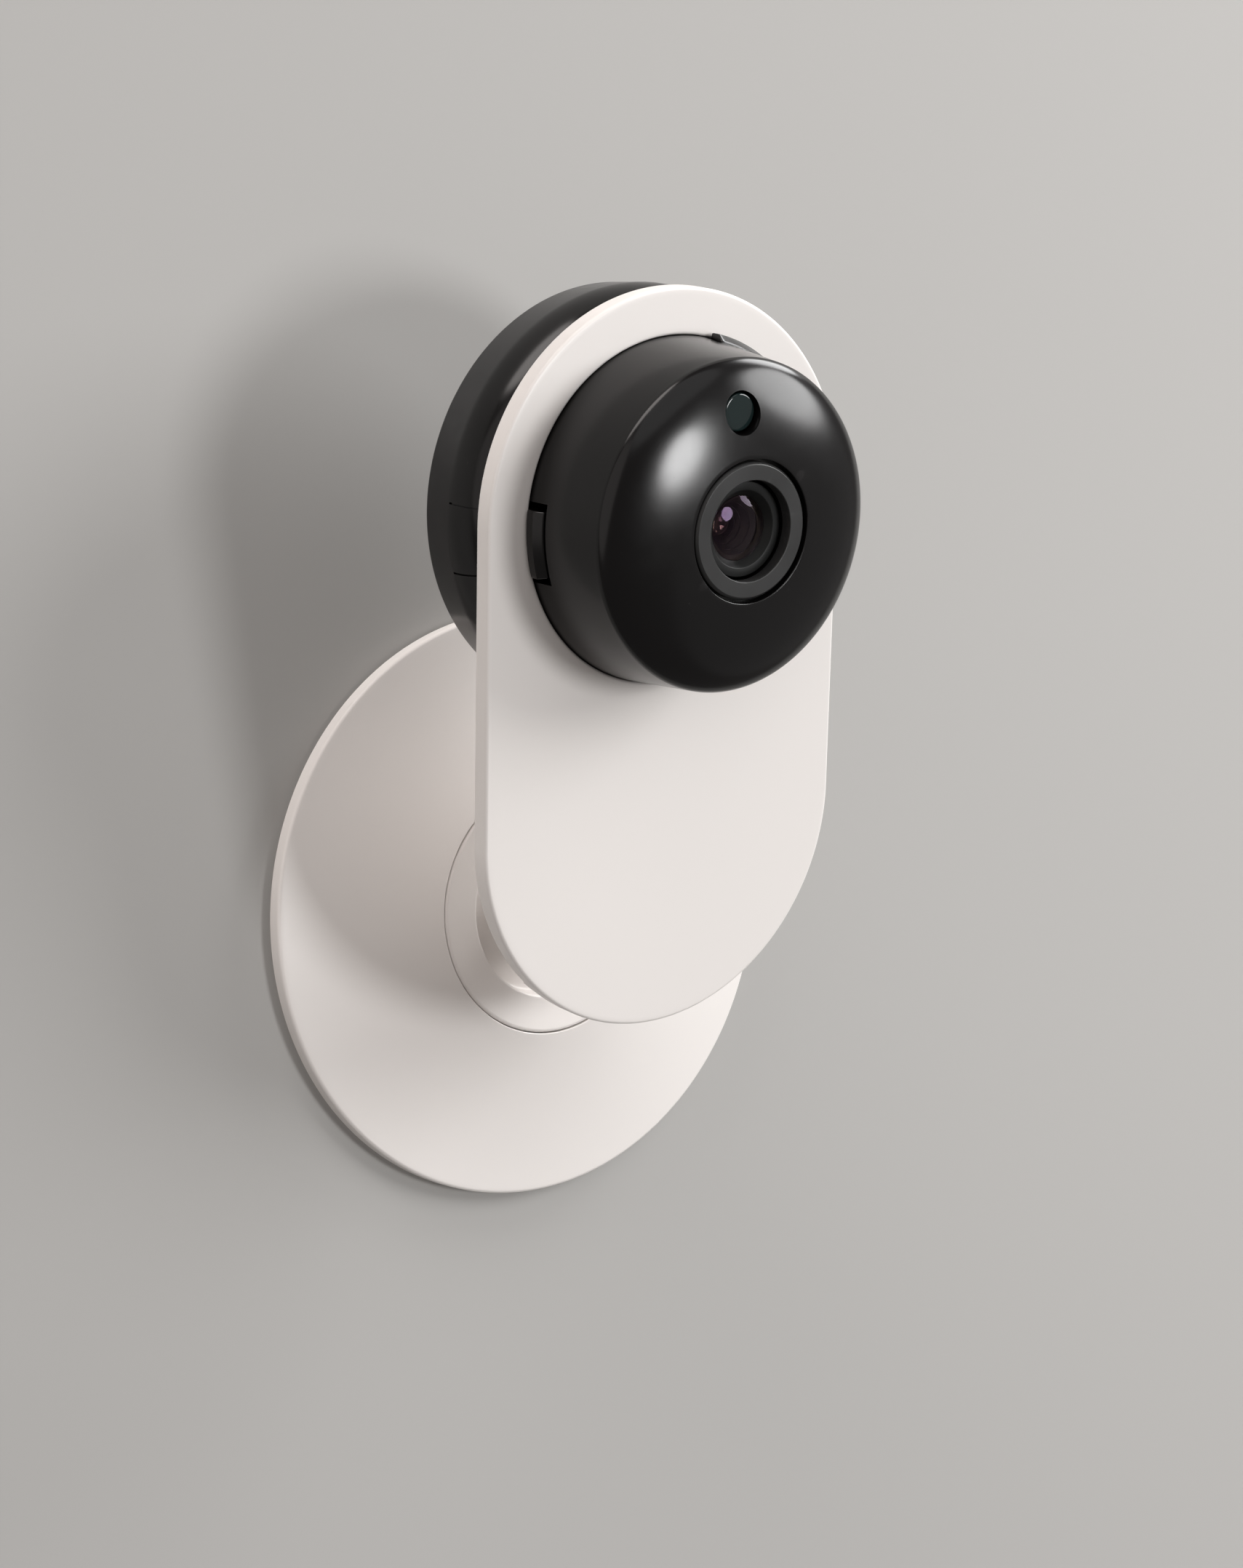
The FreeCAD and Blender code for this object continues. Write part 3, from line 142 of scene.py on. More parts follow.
class HeadSizes(PropertyGroup):
    """Round camera head. Depths are measured from the plate's front face."""
    barrel_radius: length("Barrel radius", "Radius of the barrel in the plate", 22.0)
    barrel_back: length("Barrel back", "Depth of the barrel's rear end", 5.0)
    wall: length("Wall", "Wall of the front shell", 1.7)
    dome_radius: length("Dome radius", "Radius where the dome starts", 20.9)
    dome_start: length("Dome start", "Distance from the plate to the dome's rim", 11.9)
    dome_height: length("Dome height", "Height of the dome's curve", 4.5)
    groove_radius: length("Groove radius", "Outer radius of the groove around the lens ring", 8.98)
    ring_radius: length("Ring radius", "Outer radius of the lens ring", 8.56)
    ring_bore: length("Ring bore", "Inner radius of the lens ring", 6.3)
    ring_face: length("Ring face", "Distance from the plate to the ring's face", 15.85)
    ring_seat: length("Ring seat", "Distance from the plate to the ring's seat", 14.3)
    ring_bevel: length("Ring bevel", "Bevel on the ring's outer edge", 0.33)
    lens_radius: length("Lens tube radius", "Radius of the lens tube", 6.0)
    lens_face: length("Lens tube face", "Distance from the plate to the tube's face", 14.15)
    lens_rim: length("Lens rim radius", "Inner radius of the tube's face", 4.86)
    lens_back: length("Lens tube back", "Distance from the plate to the tube's rear end", 2.4)
    glass_radius: length("Glass radius", "Radius of the front glass", 4.05)
    glass_edge: length("Glass edge", "Distance from the plate to the glass's rim", 13.3)
    glass_crown: length("Glass crown", "Bulge of the front glass", 0.65)
    glass_thickness: length("Glass thickness", "Thickness of the glass at its rim", 1.1)
    stop_radius: length("Stop radius", "Radius of the tube behind the glass", 3.3)
    aperture: length("Aperture", "Radius of the opening behind the baffles", 1.1)
    baffle_pitch: length("Baffle pitch", "Depth of one of the four steps behind the glass", 0.75)
    inner_radius: length("Inner glass radius", "Radius of the glass behind the front glass", 1.9)
    inner_crown: length("Inner glass crown", "Bulge of the glass behind the front glass", 0.55)
    window_offset: length("Window offset", "Distance from the lens axis to the window", 14.6)
    window_hole: length("Window hole", "Radius of the hole around the window", 2.7)
    window_radius: length("Window radius", "Radius of the window", 2.35)
    window_face: length("Window face", "Distance from the plate to the window's face", 14.4)
    notch_width: length("Notch width", "Width of the notches for the hooks", 10.2)
    notch_front: length("Notch front", "Distance from the plate to the notch's end", 3.0)
    microphone_hole: length("Microphone hole", "Radius of the microphone's hole", 0.6)
    microphone_depth: length("Microphone depth", "Distance from the plate to that hole", 5.0)


class HousingSizes(PropertyGroup):
    """Rear housing with its hooks. Depths are measured from the plate's front face."""
    neck_radius: length("Neck radius", "Radius of the ring against the plate", 23.5)
    front: length("Front", "Depth of the ring against the plate", 3.0)
    radius: length("Radius", "Largest radius", 27.6)
    edge_depth: length("Edge depth", "Depth where the shoulder ends", 9.1)
    back_radius: length("Back radius", "Radius at the rear edge", 26.9)
    back_depth: length("Back depth", "Depth of the rear face", 15.2)
    back_round: length("Back rounding", "Rounding of the rear edge", 0.95)
    recess_radius: length("Recess radius", "Radius of the recess for the rear cover", 24.85)
    recess_depth: length("Recess depth", "Depth of the rear cover's seat", 13.6)
    cavity_radius: length("Cavity radius", "Radius of the room inside", 25.05)
    flange_depth: length("Flange depth", "Depth of the inner flange", 6.4)
    flange_bore: length("Flange bore", "Radius of the hole in the inner flange", 15.5)
    hook_outer: length("Hook outside", "Outer radius of the hooks' tongues", 21.93)
    hook_inner: length("Hook inside", "Inner radius of the hooks' tongues", 20.23)
    hook_bite: length("Hook bite", "How far the hooks stand out over the plate", 0.8)
    hook_width: length("Hook width", "Width of the hooks", 8.4)
    hook_front: length("Hook front", "Distance from the plate to the hooks' ends", 2.7)
    hook_face: length("Hook face", "Height of the hooks' widest part", 1.35)
    slit_width: length("Slit width", "Width of the fine slits beside the hooks", 0.25)
    slit_depth: length("Slit depth", "Depth of the fine slits", 0.3)
    card_slot_length: length("Card slot length", "Length of the card slot", 12.5)
    card_slot_height: length("Card slot height", "Height of the card slot", 1.2)
    hooks: IntProperty(name="Hooks", description="Number of hooks", default=3, min=1, max=6)


class Finishes(PropertyGroup):
    """Colours of the finishes."""
    white: colour("White plastic", "Plate and base", 0.80, 0.764, 0.738)
    black: colour("Black plastic", "Camera head", 0.0032, 0.0028, 0.0029)
    ring: colour("Ring grey", "Ring around the lens", 0.022, 0.022, 0.022)
    tube: colour("Lens tube", "Black lens tube", 0.0075, 0.0080, 0.0078)
    glass: colour("Front glass", "Tint of the front glass", 0.86, 0.74, 0.70)
    coating: colour("Lens coating", "Colour that the coated glass reflects", 0.17, 0.11, 0.21)
    window: colour("Window", "Dark window above the lens", 0.008, 0.017, 0.017)
    steel: colour("Steel", "Screws, pins and sockets", 0.56, 0.56, 0.57)
    board: colour("Circuit board", "Solder mask", 0.010, 0.085, 0.040)
    film: colour("Flexible film", "Flexible circuit", 0.42, 0.19, 0.03)
    rubber: colour("Rubber", "Grip pad", 0.030, 0.030, 0.031)
    backdrop: colour("Backdrop", "Wall behind the object", 0.40, 0.392, 0.38)


# Shader node helpers

def set_or_link(tree, target, value):
    """Give an input a plain number or link it to another node's output."""
    if isinstance(value, (int, float)):
        target.default_value = value
    else:
        tree.links.new(value, target)


def noise(tree, scale, detail, roughness=0.5):
    """Noise texture on object coordinates."""
    coordinates = tree.nodes.new("ShaderNodeTexCoord")
    texture = tree.nodes.new("ShaderNodeTexNoise")
    tree.links.new(coordinates.outputs["Object"], texture.inputs["Vector"])
    set_or_link(tree, texture.inputs["Scale"], scale)
    texture.inputs["Detail"].default_value = detail
    texture.inputs["Roughness"].default_value = roughness
    return texture.outputs["Fac"]


def ranged(tree, value, low, high, to_low=0.0, to_high=1.0):
    """Map a value from one range to another, clamped; the new limits may be sockets."""
    node = tree.nodes.new("ShaderNodeMapRange")
    tree.links.new(value, node.inputs["Value"])
    for name, limit in (("From Min", low), ("From Max", high), ("To Min", to_low), ("To Max", to_high)):
        set_or_link(tree, node.inputs[name], limit)
    return node.outputs["Result"]


def calculated(tree, operation, first, second):
    """Math node on two values or sockets."""
    node = tree.nodes.new("ShaderNodeMath")
    node.operation = operation
    for index, value in enumerate((first, second)):
        set_or_link(tree, node.inputs[index], value)
    return node.outputs["Value"]


def mixed(tree, factor, first, second):
    """Mix of two colours; each may be a socket or a tuple."""
    node = tree.nodes.new("ShaderNodeMix")
    node.data_type = "RGBA"
    tree.links.new(factor, node.inputs["Factor"])
    for name, value in (("A", first), ("B", second)):
        target = next(item for item in node.inputs if item.name == name and item.type == "RGBA")
        if isinstance(value, tuple):
            target.default_value = value
        else:
            tree.links.new(value, target)
    return next(item for item in node.outputs if item.type == "RGBA")


def product(tree, *values):
    """Product of several values."""
    result = values[0]
    for value in values[1:]:
        result = calculated(tree, "MULTIPLY", result, value)
    return result


def new_group(name, inputs, outputs):
    """New node group with its sockets; also the sockets of its input and output nodes."""
    group = bpy.data.node_groups.new(name, "ShaderNodeTree")
    for label, default in inputs.items():
        kind = "NodeSocketColor" if isinstance(default, tuple) else "NodeSocketFloat"
        group.interface.new_socket(name=label, in_out="INPUT", socket_type=kind).default_value = default
    for label, kind in outputs.items():
        group.interface.new_socket(name=label, in_out="OUTPUT", socket_type=kind)
    return group, group.nodes.new("NodeGroupInput").outputs, group.nodes.new("NodeGroupOutput").inputs


def skin_group(name):
    """Node group for a moulded or machined skin: cloudy tone, uneven gloss and fine grain."""
    group, given, result = new_group(
        name,
        {"Color": (0.8, 0.8, 0.8, 1.0), "Shade Color": (0.7, 0.7, 0.7, 1.0), "Smooth": 0.2, "Rough": 0.4,
         "Grain Scale": 3000.0},
        {"Color": "NodeSocketColor", "Roughness": "NodeSocketFloat", "Height": "NodeSocketFloat"})
    cloud = ranged(group, noise(group, scale=40.0, detail=3.0), low=0.2, high=0.8)
    tone = mixed(group, cloud, given["Color"], given["Shade Color"])
    rub = noise(group, scale=160.0, detail=4.0, roughness=0.55)
    gloss = ranged(group, rub, low=0.25, high=0.75, to_low=given["Smooth"], to_high=given["Rough"])
    grain = noise(group, scale=given["Grain Scale"], detail=2.0)
    group.links.new(tone, result["Color"])
    group.links.new(gloss, result["Roughness"])
    group.links.new(grain, result["Height"])
    return group


def dust_group(name):
    """Node group for fine dust: small specks, more of them on faces that look up."""
    group, given, result = new_group(name, {"Amount": 0.5}, {"Mask": "NodeSocketFloat"})
    specks = ranged(group, noise(group, scale=1500.0, detail=3.0, roughness=0.7), low=0.69, high=0.78)
    patches = ranged(group, noise(group, scale=90.0, detail=2.0), low=0.4, high=0.65, to_low=0.2)
    geometry = group.nodes.new("ShaderNodeNewGeometry")
    split = group.nodes.new("ShaderNodeSeparateXYZ")
    group.links.new(geometry.outputs["Normal"], split.inputs["Vector"])
    upward = ranged(group, split.outputs["Z"], low=-0.2, high=1.0, to_low=0.35)
    group.links.new(product(group, specks, patches, upward, given["Amount"]), result["Mask"])
    return group


def wear_group(name):
    """Node group for edge wear: a broken mask along the outer edges."""
    group, given, result = new_group(name, {"Amount": 0.2}, {"Mask": "NodeSocketFloat"})
    geometry = group.nodes.new("ShaderNodeNewGeometry")
    edge = ranged(group, geometry.outputs["Pointiness"], low=0.53, high=0.62)
    rubbed = noise(group, scale=420.0, detail=4.0, roughness=0.6)
    patches = ranged(group, rubbed, low=0.35, high=0.65, to_low=0.25)
    group.links.new(product(group, edge, patches, given["Amount"]), result["Mask"])
    return group


SHARED_GROUPS = {"surface_skin": skin_group, "fine_dust": dust_group, "edge_wear": wear_group}


def placed(tree, name, **values):
    """Outputs of a shared group placed in a material with its inputs' values; the group is made once."""
    node = tree.nodes.new("ShaderNodeGroup")
    node.node_tree = bpy.data.node_groups.get(name) or SHARED_GROUPS[name](name)
    for label, value in values.items():
        node.inputs[label.replace("_", " ").title()].default_value = value
    return node.outputs


def opaque(colours):
    """Colour with full alpha."""
    return (*colours, 1.0)


def shaded(colours, factor):
    """The same colour, darker or lighter."""
    return tuple(min(1.0, part * factor) for part in colours)


def surface_material(name, colours, smooth, rough, grain=3000.0, relief=0.1, shade=0.85, metallic=0.0,
                     level=0.5, dust=0.0, wear=0.0, worn=1.0):
    """Material of one finish; its tone, gloss, grain, wear and dust come from the shared groups."""
    material = bpy.data.materials.new(name)
    material.use_nodes = True
    tree = material.node_tree
    shader = tree.nodes["Principled BSDF"]
    skin = placed(tree, "surface_skin", color=opaque(colours), shade_color=opaque(shaded(colours, shade)),
                  smooth=smooth, rough=rough, grain_scale=grain)
    tone = skin["Color"]
    gloss = skin["Roughness"]
    if wear:
        mask = placed(tree, "edge_wear", amount=wear)["Mask"]
        tone = mixed(tree, mask, tone, opaque(shaded(colours, worn)))
        gloss = ranged(tree, mask, low=0.0, high=1.0, to_low=gloss, to_high=rough * WORN_ROUGHENING)
    if dust:
        mask = placed(tree, "fine_dust", amount=dust)["Mask"]
        tone = mixed(tree, mask, tone, DUST_COLOUR)
        gloss = ranged(tree, mask, low=0.0, high=1.0, to_low=gloss, to_high=DUST_ROUGHNESS)
    bump = tree.nodes.new("ShaderNodeBump")
    bump.inputs["Strength"].default_value = relief
    bump.inputs["Distance"].default_value = GRAIN_DEPTH
    tree.links.new(skin["Height"], bump.inputs["Height"])
    tree.links.new(bump.outputs["Normal"], shader.inputs["Normal"])
    tree.links.new(tone, shader.inputs["Base Color"])
    tree.links.new(gloss, shader.inputs["Roughness"])
    shader.inputs["Metallic"].default_value = metallic
    shader.inputs["Specular IOR Level"].default_value = level
    return material


def clear_glass(name, tint, coating):
    """Clear tinted glass with a coating and faint smears."""
    material = bpy.data.materials.new(name)
    material.use_nodes = True
    tree = material.node_tree
    shader = tree.nodes["Principled BSDF"]
    shader.inputs["Base Color"].default_value = opaque(tint)
    shader.inputs["Transmission Weight"].default_value = 1.0
    shader.inputs["IOR"].default_value = GLASS_IOR
    shader.inputs["Specular Tint"].default_value = opaque(coating)
    smears = noise(tree, scale=500.0, detail=3.0)
    tree.links.new(ranged(tree, smears, low=0.4, high=0.7, to_high=0.035), shader.inputs["Roughness"])
    return material


DUST_COLOUR = (0.42, 0.41, 0.39, 1.0)
DUST_ROUGHNESS = 0.8
WORN_ROUGHENING = 1.3
GRAIN_DEPTH = 0.02 * MM
GLASS_IOR = 1.52
GLASS_SLOTS = ("lens_glass", "filter_glass")

# The other slots of the record: name of the colour, its factor and the values of surface_material
RECIPES = {
    "white_plastic": ("white", 1.0, dict(smooth=0.29, rough=0.34, grain=2600.0, shade=0.985, level=0.45,
                                         wear=0.5, worn=0.95)),
    "black_plastic": ("black", 1.0, dict(smooth=0.16, rough=0.22, grain=2600.0, relief=0.05, shade=0.80,
                                         level=0.38, dust=0.10, wear=0.5, worn=4.0)),
    "black_matte": ("black", 3.4, dict(smooth=0.42, rough=0.55, grain=1800.0, relief=0.35, level=0.4,
                                       dust=0.40, wear=0.5, worn=1.8)),
    "ring_grey": ("ring", 1.0, dict(smooth=0.30, rough=0.42, grain=3200.0, relief=0.18, shade=0.90, level=0.4,
                                    dust=0.15, wear=0.6, worn=1.6)),
    "lens_tube": ("tube", 0.7, dict(smooth=0.34, rough=0.48, grain=3200.0, relief=0.12, level=0.22, dust=0.05,
                                    wear=0.5, worn=2.0)),
    "window_dark": ("window", 1.0, dict(smooth=0.05, rough=0.09, relief=0.02, shade=0.80, level=0.6,
                                        dust=0.10)),
    "steel": ("steel", 1.0, dict(smooth=0.24, rough=0.40, grain=2200.0, relief=0.15, metallic=1.0, wear=0.6,
                                 worn=1.25)),
    "tin": ("steel", 1.15, dict(smooth=0.28, rough=0.42, grain=1500.0, relief=0.15, shade=0.90, metallic=1.0,
                                wear=0.6, worn=1.2)),
    "washer_plastic": ("white", 0.9, dict(smooth=0.45, rough=0.60, grain=2000.0, relief=0.15, shade=0.90)),
    "rubber": ("rubber", 1.0, dict(smooth=0.70, rough=0.85, grain=1200.0, relief=0.60, shade=0.80, level=0.3,
                                   dust=0.30)),
    "board": ("board", 1.0, dict(smooth=0.25, rough=0.40, grain=900.0, relief=0.30, shade=0.75)),
    "parts_dark": ("rubber", 1.0, dict(smooth=0.45, rough=0.60, grain=1600.0, relief=0.25, level=0.4)),
    "film": ("film", 1.0, dict(smooth=0.25, rough=0.40, grain=700.0, relief=0.20)),
}


def finish(slot):
    """Material for one of the record's slots, made once."""
    name = slot + "_finish"
    if name in bpy.data.materials:
        return bpy.data.materials[name]
    colours = bpy.context.scene.camera_finishes
    if slot in GLASS_SLOTS:
        return clear_glass(name, colours.glass, colours.coating)
    colour_name, factor, values = RECIPES[slot]
    return surface_material(name, shaded(getattr(colours, colour_name), factor), **values)


# Mesh helpers

def held(profile, closed):
    """The same profile with a point near both ends of every long line, so that wear stays at the edges."""
    pairs = list(zip(profile, profile[1:]))
    if closed:
        pairs.append((profile[-1], profile[0]))
    points = []
    for first, second in pairs:
        first, second = Vector(first), Vector(second)
        line = second - first
        points.append(tuple(first))
        if line.length > 4 * WEAR_REACH:
            points.append(tuple(first + line.normalized() * WEAR_REACH))
            points.append(tuple(second - line.normalized() * WEAR_REACH))
    if not closed:
        points.append(profile[-1])
    return points


def turn(bm, verts, angle):
    """Turn vertices about the Y axis, from +X towards +Z."""
    bmesh.ops.rotate(bm, cent=(0, 0, 0), matrix=Matrix.Rotation(-angle, 3, "Y"), verts=verts)


def spun(bm, profile, steps, closed=True, start=0.0, sweep=2 * math.pi):
    """Turn a profile of (radius, depth) about the Y axis; angles run from +X towards +Z."""
    points = [bm.verts.new((radius, depth, 0.0)) for radius, depth in held(profile, closed)]
    edges = [bm.edges.new(pair) for pair in zip(points, points[1:])]
    if closed:
        edges.append(bm.edges.new((points[-1], points[0])))
    geometry = points + edges
    full = sweep >= 2 * math.pi - TINY
    if not full:
        geometry += bmesh.ops.contextual_create(bm, geom=edges)["faces"]
        turn(bm, points, start)
    bmesh.ops.spin(bm, geom=geometry, cent=(0, 0, 0), axis=(0, -1, 0), angle=sweep, steps=steps,
                   use_merge=full)
    bmesh.ops.remove_doubles(bm, verts=bm.verts, dist=MERGE_DISTANCE)
    bmesh.ops.recalc_face_normals(bm, faces=bm.faces)


def rounded(bm, edges, width, segments):
    """Round edges with a circular profile."""
    bmesh.ops.bevel(bm, geom=edges, offset=width, offset_type="OFFSET", segments=segments, profile=0.5,
                    affect="EDGES", clamp_overlap=True, material=-1)


def round_ring(bm, radius, depth, width, segments=4):
    """Round the ring of edges at a radius and a depth."""
    def on_ring(vertex):
        off_radius = abs(math.hypot(vertex.co.x, vertex.co.z) - radius)
        return off_radius < RING_TOLERANCE and abs(vertex.co.y - depth) < RING_TOLERANCE
    rounded(bm, [edge for edge in bm.edges if all(on_ring(vertex) for vertex in edge.verts)], width, segments)


def round_sharp(bm, width, segments):
    """Round every sharp edge."""
    rounded(bm, [edge for edge in bm.edges if edge.calc_face_angle(0.0) > SHARP_ANGLE], width, segments)


def shares(count):
    """Evenly spaced numbers from 0 to 1."""
    return [index / count for index in range(count + 1)]


def ellipse_arc(radius, height, depth, stop, count):
    """Points of a dome's profile from its rim to the radius stop."""
    end = math.acos(stop / radius)
    return [(radius * math.cos(end * share), depth - height * math.sin(end * share))
            for share in shares(count)[1:]]


def bulge(radius, edge, crown, count):
    """Points of a lens face from its rim to the axis."""
    ball = (radius ** 2 + crown ** 2) / (2 * abs(crown))
    half = math.asin(radius / ball)
    points = []
    for share in shares(count):
        angle = half * (1 - share)
        rise = ball * (math.cos(angle) - math.cos(half))
        points.append((ball * math.sin(angle), edge + math.copysign(rise, crown)))
    return points


def cylinder(bm, radius, start, end, segments=48):
    """Closed cylinder between two points."""
    start, end = Vector(start), Vector(end)
    axis = end - start
    matrix = Matrix.Translation((start + end) / 2) @ axis.to_track_quat("Z", "Y").to_matrix().to_4x4()
    bmesh.ops.create_cone(bm, cap_ends=True, segments=segments, radius1=radius, radius2=radius,
                          depth=axis.length, matrix=matrix)


def brick(bm, low, high):
    """Vertices of a new closed box between two corners."""
    low, high = Vector(low), Vector(high)
    matrix = Matrix.Translation((low + high) / 2) @ Matrix.Diagonal((*(high - low), 1.0))
    return bmesh.ops.create_cube(bm, size=1.0, matrix=matrix)["verts"]


def push(bm, faces, move):
    """Push faces out along a vector."""
    geometry = bmesh.ops.extrude_face_region(bm, geom=faces)["geom"]
    verts = [item for item in geometry if isinstance(item, bmesh.types.BMVert)]
    bmesh.ops.translate(bm, verts=verts, vec=move)


def to_object(bm, name, place):
    """Object of a finished bmesh, with its place in its mesh."""
    bmesh.ops.transform(bm, matrix=place, verts=bm.verts)
    mesh = bpy.data.meshes.new(name)
    bm.to_mesh(mesh)
    bm.free()
    made = bpy.data.objects.new(name, mesh)
    bpy.context.scene.collection.objects.link(made)
    return made


def added(bm, part):
    """Add one bmesh to another; the added one is used up."""
    mesh = bpy.data.meshes.new("part")
    part.to_mesh(mesh)
    part.free()
    bm.from_mesh(mesh)
    bpy.data.meshes.remove(mesh)


def carved(bm, tool):
    """What is left of one bmesh when another is cut out of it; both are used up."""
    piece = to_object(bm, "piece", Matrix())
    cutter = to_object(tool, "cutter", Matrix())
    modifier = piece.modifiers.new("cut", "BOOLEAN")
    modifier.operation = "DIFFERENCE"
    modifier.solver = "EXACT"
    modifier.object = cutter
    bpy.context.view_layer.update()
    mesh = bpy.data.meshes.new_from_object(piece.evaluated_get(bpy.context.evaluated_depsgraph_get()))
    result = bmesh.new()
    result.from_mesh(mesh)
    bpy.data.meshes.remove(mesh)
    for used in (piece, cutter):
        mesh = used.data
        bpy.data.objects.remove(used)
        bpy.data.meshes.remove(mesh)
    return result


def dressed(piece, body, slot, *nodes, smooth=35):
    """Shade a piece, give it its finish and set it on its body in place of its CAD nodes."""
    mesh = piece.data
    mesh.shade_smooth()
    mesh.set_sharp_from_angle(angle=math.radians(smooth))
    mesh.materials.clear()
    mesh.materials.append(finish(slot))
    weighted = piece.modifiers.new("even_shading", "WEIGHTED_NORMAL")
    weighted.keep_sharp = True
    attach(piece, body)
    if nodes:
        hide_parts(*nodes)


def hook_angles(context):
    """Angles of the hooks about the head's axis; the first hook is on the left."""
    count = context.scene.camera_housing.hooks
    return [math.pi + 2 * math.pi * index / count for index in range(count)]


# Operators, one for each piece or group of pieces

class CAMERA_OT_base(Operator):
    """Build the round base"""
    bl_idname = "camera_model.base"
    bl_label = "Base"

    def execute(self, context):
        s = context.scene.camera_base
        wall = 2.2 * MM
        collar_floor = -s.hub_height + s.collar_depth
        collar_bore = s.seam_inner - 3.8 * MM
        collar_outer = s.seam_outer + 1.6 * MM
        collar_back = -3.8 * MM
        cover_seat = -1.6 * MM
        seat_drop = 0.3 * MM
        seat_bore = s.cover_recess - 1.4 * MM
        back_round = 0.15 * MM
        seam_round = 0.22 * MM
        cone = []
        for share in shares(24):
            rise = (s.hub_height - s.rim_height) * share - 4 * s.hollow * share * (1 - share)
            cone.append((s.radius - (s.radius - s.seam_outer) * share, -s.rim_height - rise))
        profile = [(s.radius, -s.rim_back)] + cone + [
            (s.seam_outer, collar_floor), (collar_bore, collar_floor), (collar_bore, collar_back),
            (collar_outer, collar_back), (collar_outer, -s.hub_height + wall),
            (seat_bore, cover_seat - seat_drop), (seat_bore, cover_seat),
            (s.cover_recess, cover_seat), (s.cover_recess, -s.rim_back)]
        bm = bmesh.new()
        spun(bm, profile, steps=192)
        round_ring(bm, s.radius, -s.rim_height, s.rim_round)
        round_ring(bm, s.radius, -s.rim_back, back_round, 2)
        round_ring(bm, s.seam_outer, -s.hub_height, seam_round, 3)
        piece = to_object(bm, "base_shell", Matrix())
        dressed(piece, "base", "white_plastic", "base_disc")
        return {"FINISHED"}


class CAMERA_OT_turntable(Operator):
    """Build the turntable with its post and fork"""
    bl_idname = "camera_model.turntable"
    bl_label = "Turntable"

    def execute(self, context):
        s = context.scene.camera_base
        back = -2.85 * MM
        bearing_radius = 13.3 * MM
        bearing_depth = -5.65 * MM
        well_round = 0.3 * MM
        fork_round = 0.25 * MM
        top = -s.hub_height
        floor = top + s.well_depth
        neck = floor - s.foot_height
        floor_radius = s.well_radius - s.well_taper
        flare = []
        for share in shares(12):
            flare.append((s.post_radius + (s.foot_radius - s.post_radius) * (1 - share) ** 2,
                          floor + (neck - floor) * share))
        profile = [
            (0.0, back), (bearing_radius, back), (bearing_radius, bearing_depth),
            (s.seam_inner, bearing_depth), (s.seam_inner, top), (s.well_radius, top),
            (floor_radius, floor)] + flare + [(0.0, neck)]
        hub = bmesh.new()
        spun(hub, profile, steps=160, closed=False)
        round_ring(hub, s.seam_inner, top, s.edge_round)
        round_ring(hub, s.well_radius, top, well_round)
        round_ring(hub, floor_radius, floor, well_round, 3)
        fork = bmesh.new()
        cylinder(fork, s.post_radius, (0, neck, 0), (0, -s.slot_floor, 0), 64)
        top_ring = [vertex for vertex in fork.verts if vertex.co.y < (neck - s.slot_floor) / 2]
        bmesh.ops.scale(fork, vec=(s.ear_outer / s.post_radius, 1, 1), verts=top_ring)
        ear = bmesh.new()
        disc = Matrix.Translation((s.ear_inner, HINGE.y, 0)) @ Matrix.Rotation(math.pi / 2, 4, "Y")
        bmesh.ops.create_circle(ear, cap_ends=True, segments=64, radius=s.post_radius, matrix=disc)
        for vertex in ear.verts:
            if vertex.co.y > HINGE.y + TINY:
                vertex.co.y = -s.slot_floor
        push(ear, ear.faces[:], (s.ear_outer - s.ear_inner, 0, 0))
        bmesh.ops.mirror(ear, geom=ear.verts[:] + ear.edges[:] + ear.faces[:], merge_dist=0.0, axis="X")
        bmesh.ops.recalc_face_normals(ear, faces=ear.faces)
        added(fork, ear)
        round_sharp(fork, fork_round, segments=2)
        tool = bmesh.new()
        cylinder(tool, s.bolt_recess, (-s.ear_outer * OVERSHOOT, HINGE.y, 0),
                 (s.bolt_depth - s.ear_outer, HINGE.y, 0))
        fork = carved(fork, tool)
        added(fork, hub)
        piece = to_object(fork, "hub", Matrix())
        dressed(piece, "swivel", "white_plastic", "turntable")
        return {"FINISHED"}


class CAMERA_OT_plate(Operator):
    """Build the plate with its round ends and its hole"""
    bl_idname = "camera_model.plate"
    bl_label = "Plate"

    def execute(self, context):
        s = context.scene.camera_plate
        bm = bmesh.new()
        circle = dict(cap_ends=False, segments=240, matrix=UPRIGHT)
        outer = bmesh.ops.create_circle(bm, radius=s.half_width, **circle)["verts"]
        for vertex in outer:
            if vertex.co.z < -TINY:
                vertex.co.z -= s.centre_distance
        bmesh.ops.create_circle(bm, radius=s.hole_radius, **circle)
        faces = bmesh.ops.bridge_loops(bm, edges=bm.edges[:])["faces"]
        push(bm, faces, (0, s.thickness, 0))
        bmesh.ops.recalc_face_normals(bm, faces=bm.faces)
        round_sharp(bm, s.edge_round, segments=5)
        flat = [face for face in bm.faces if abs(face.normal.y) > FLAT]
        bmesh.ops.inset_region(bm, faces=flat, thickness=WEAR_REACH, use_even_offset=True)
        piece = to_object(bm, "plate", HOLDER)
        dressed(piece, "holder", "white_plastic", "holder_plate")
        return {"FINISHED"}


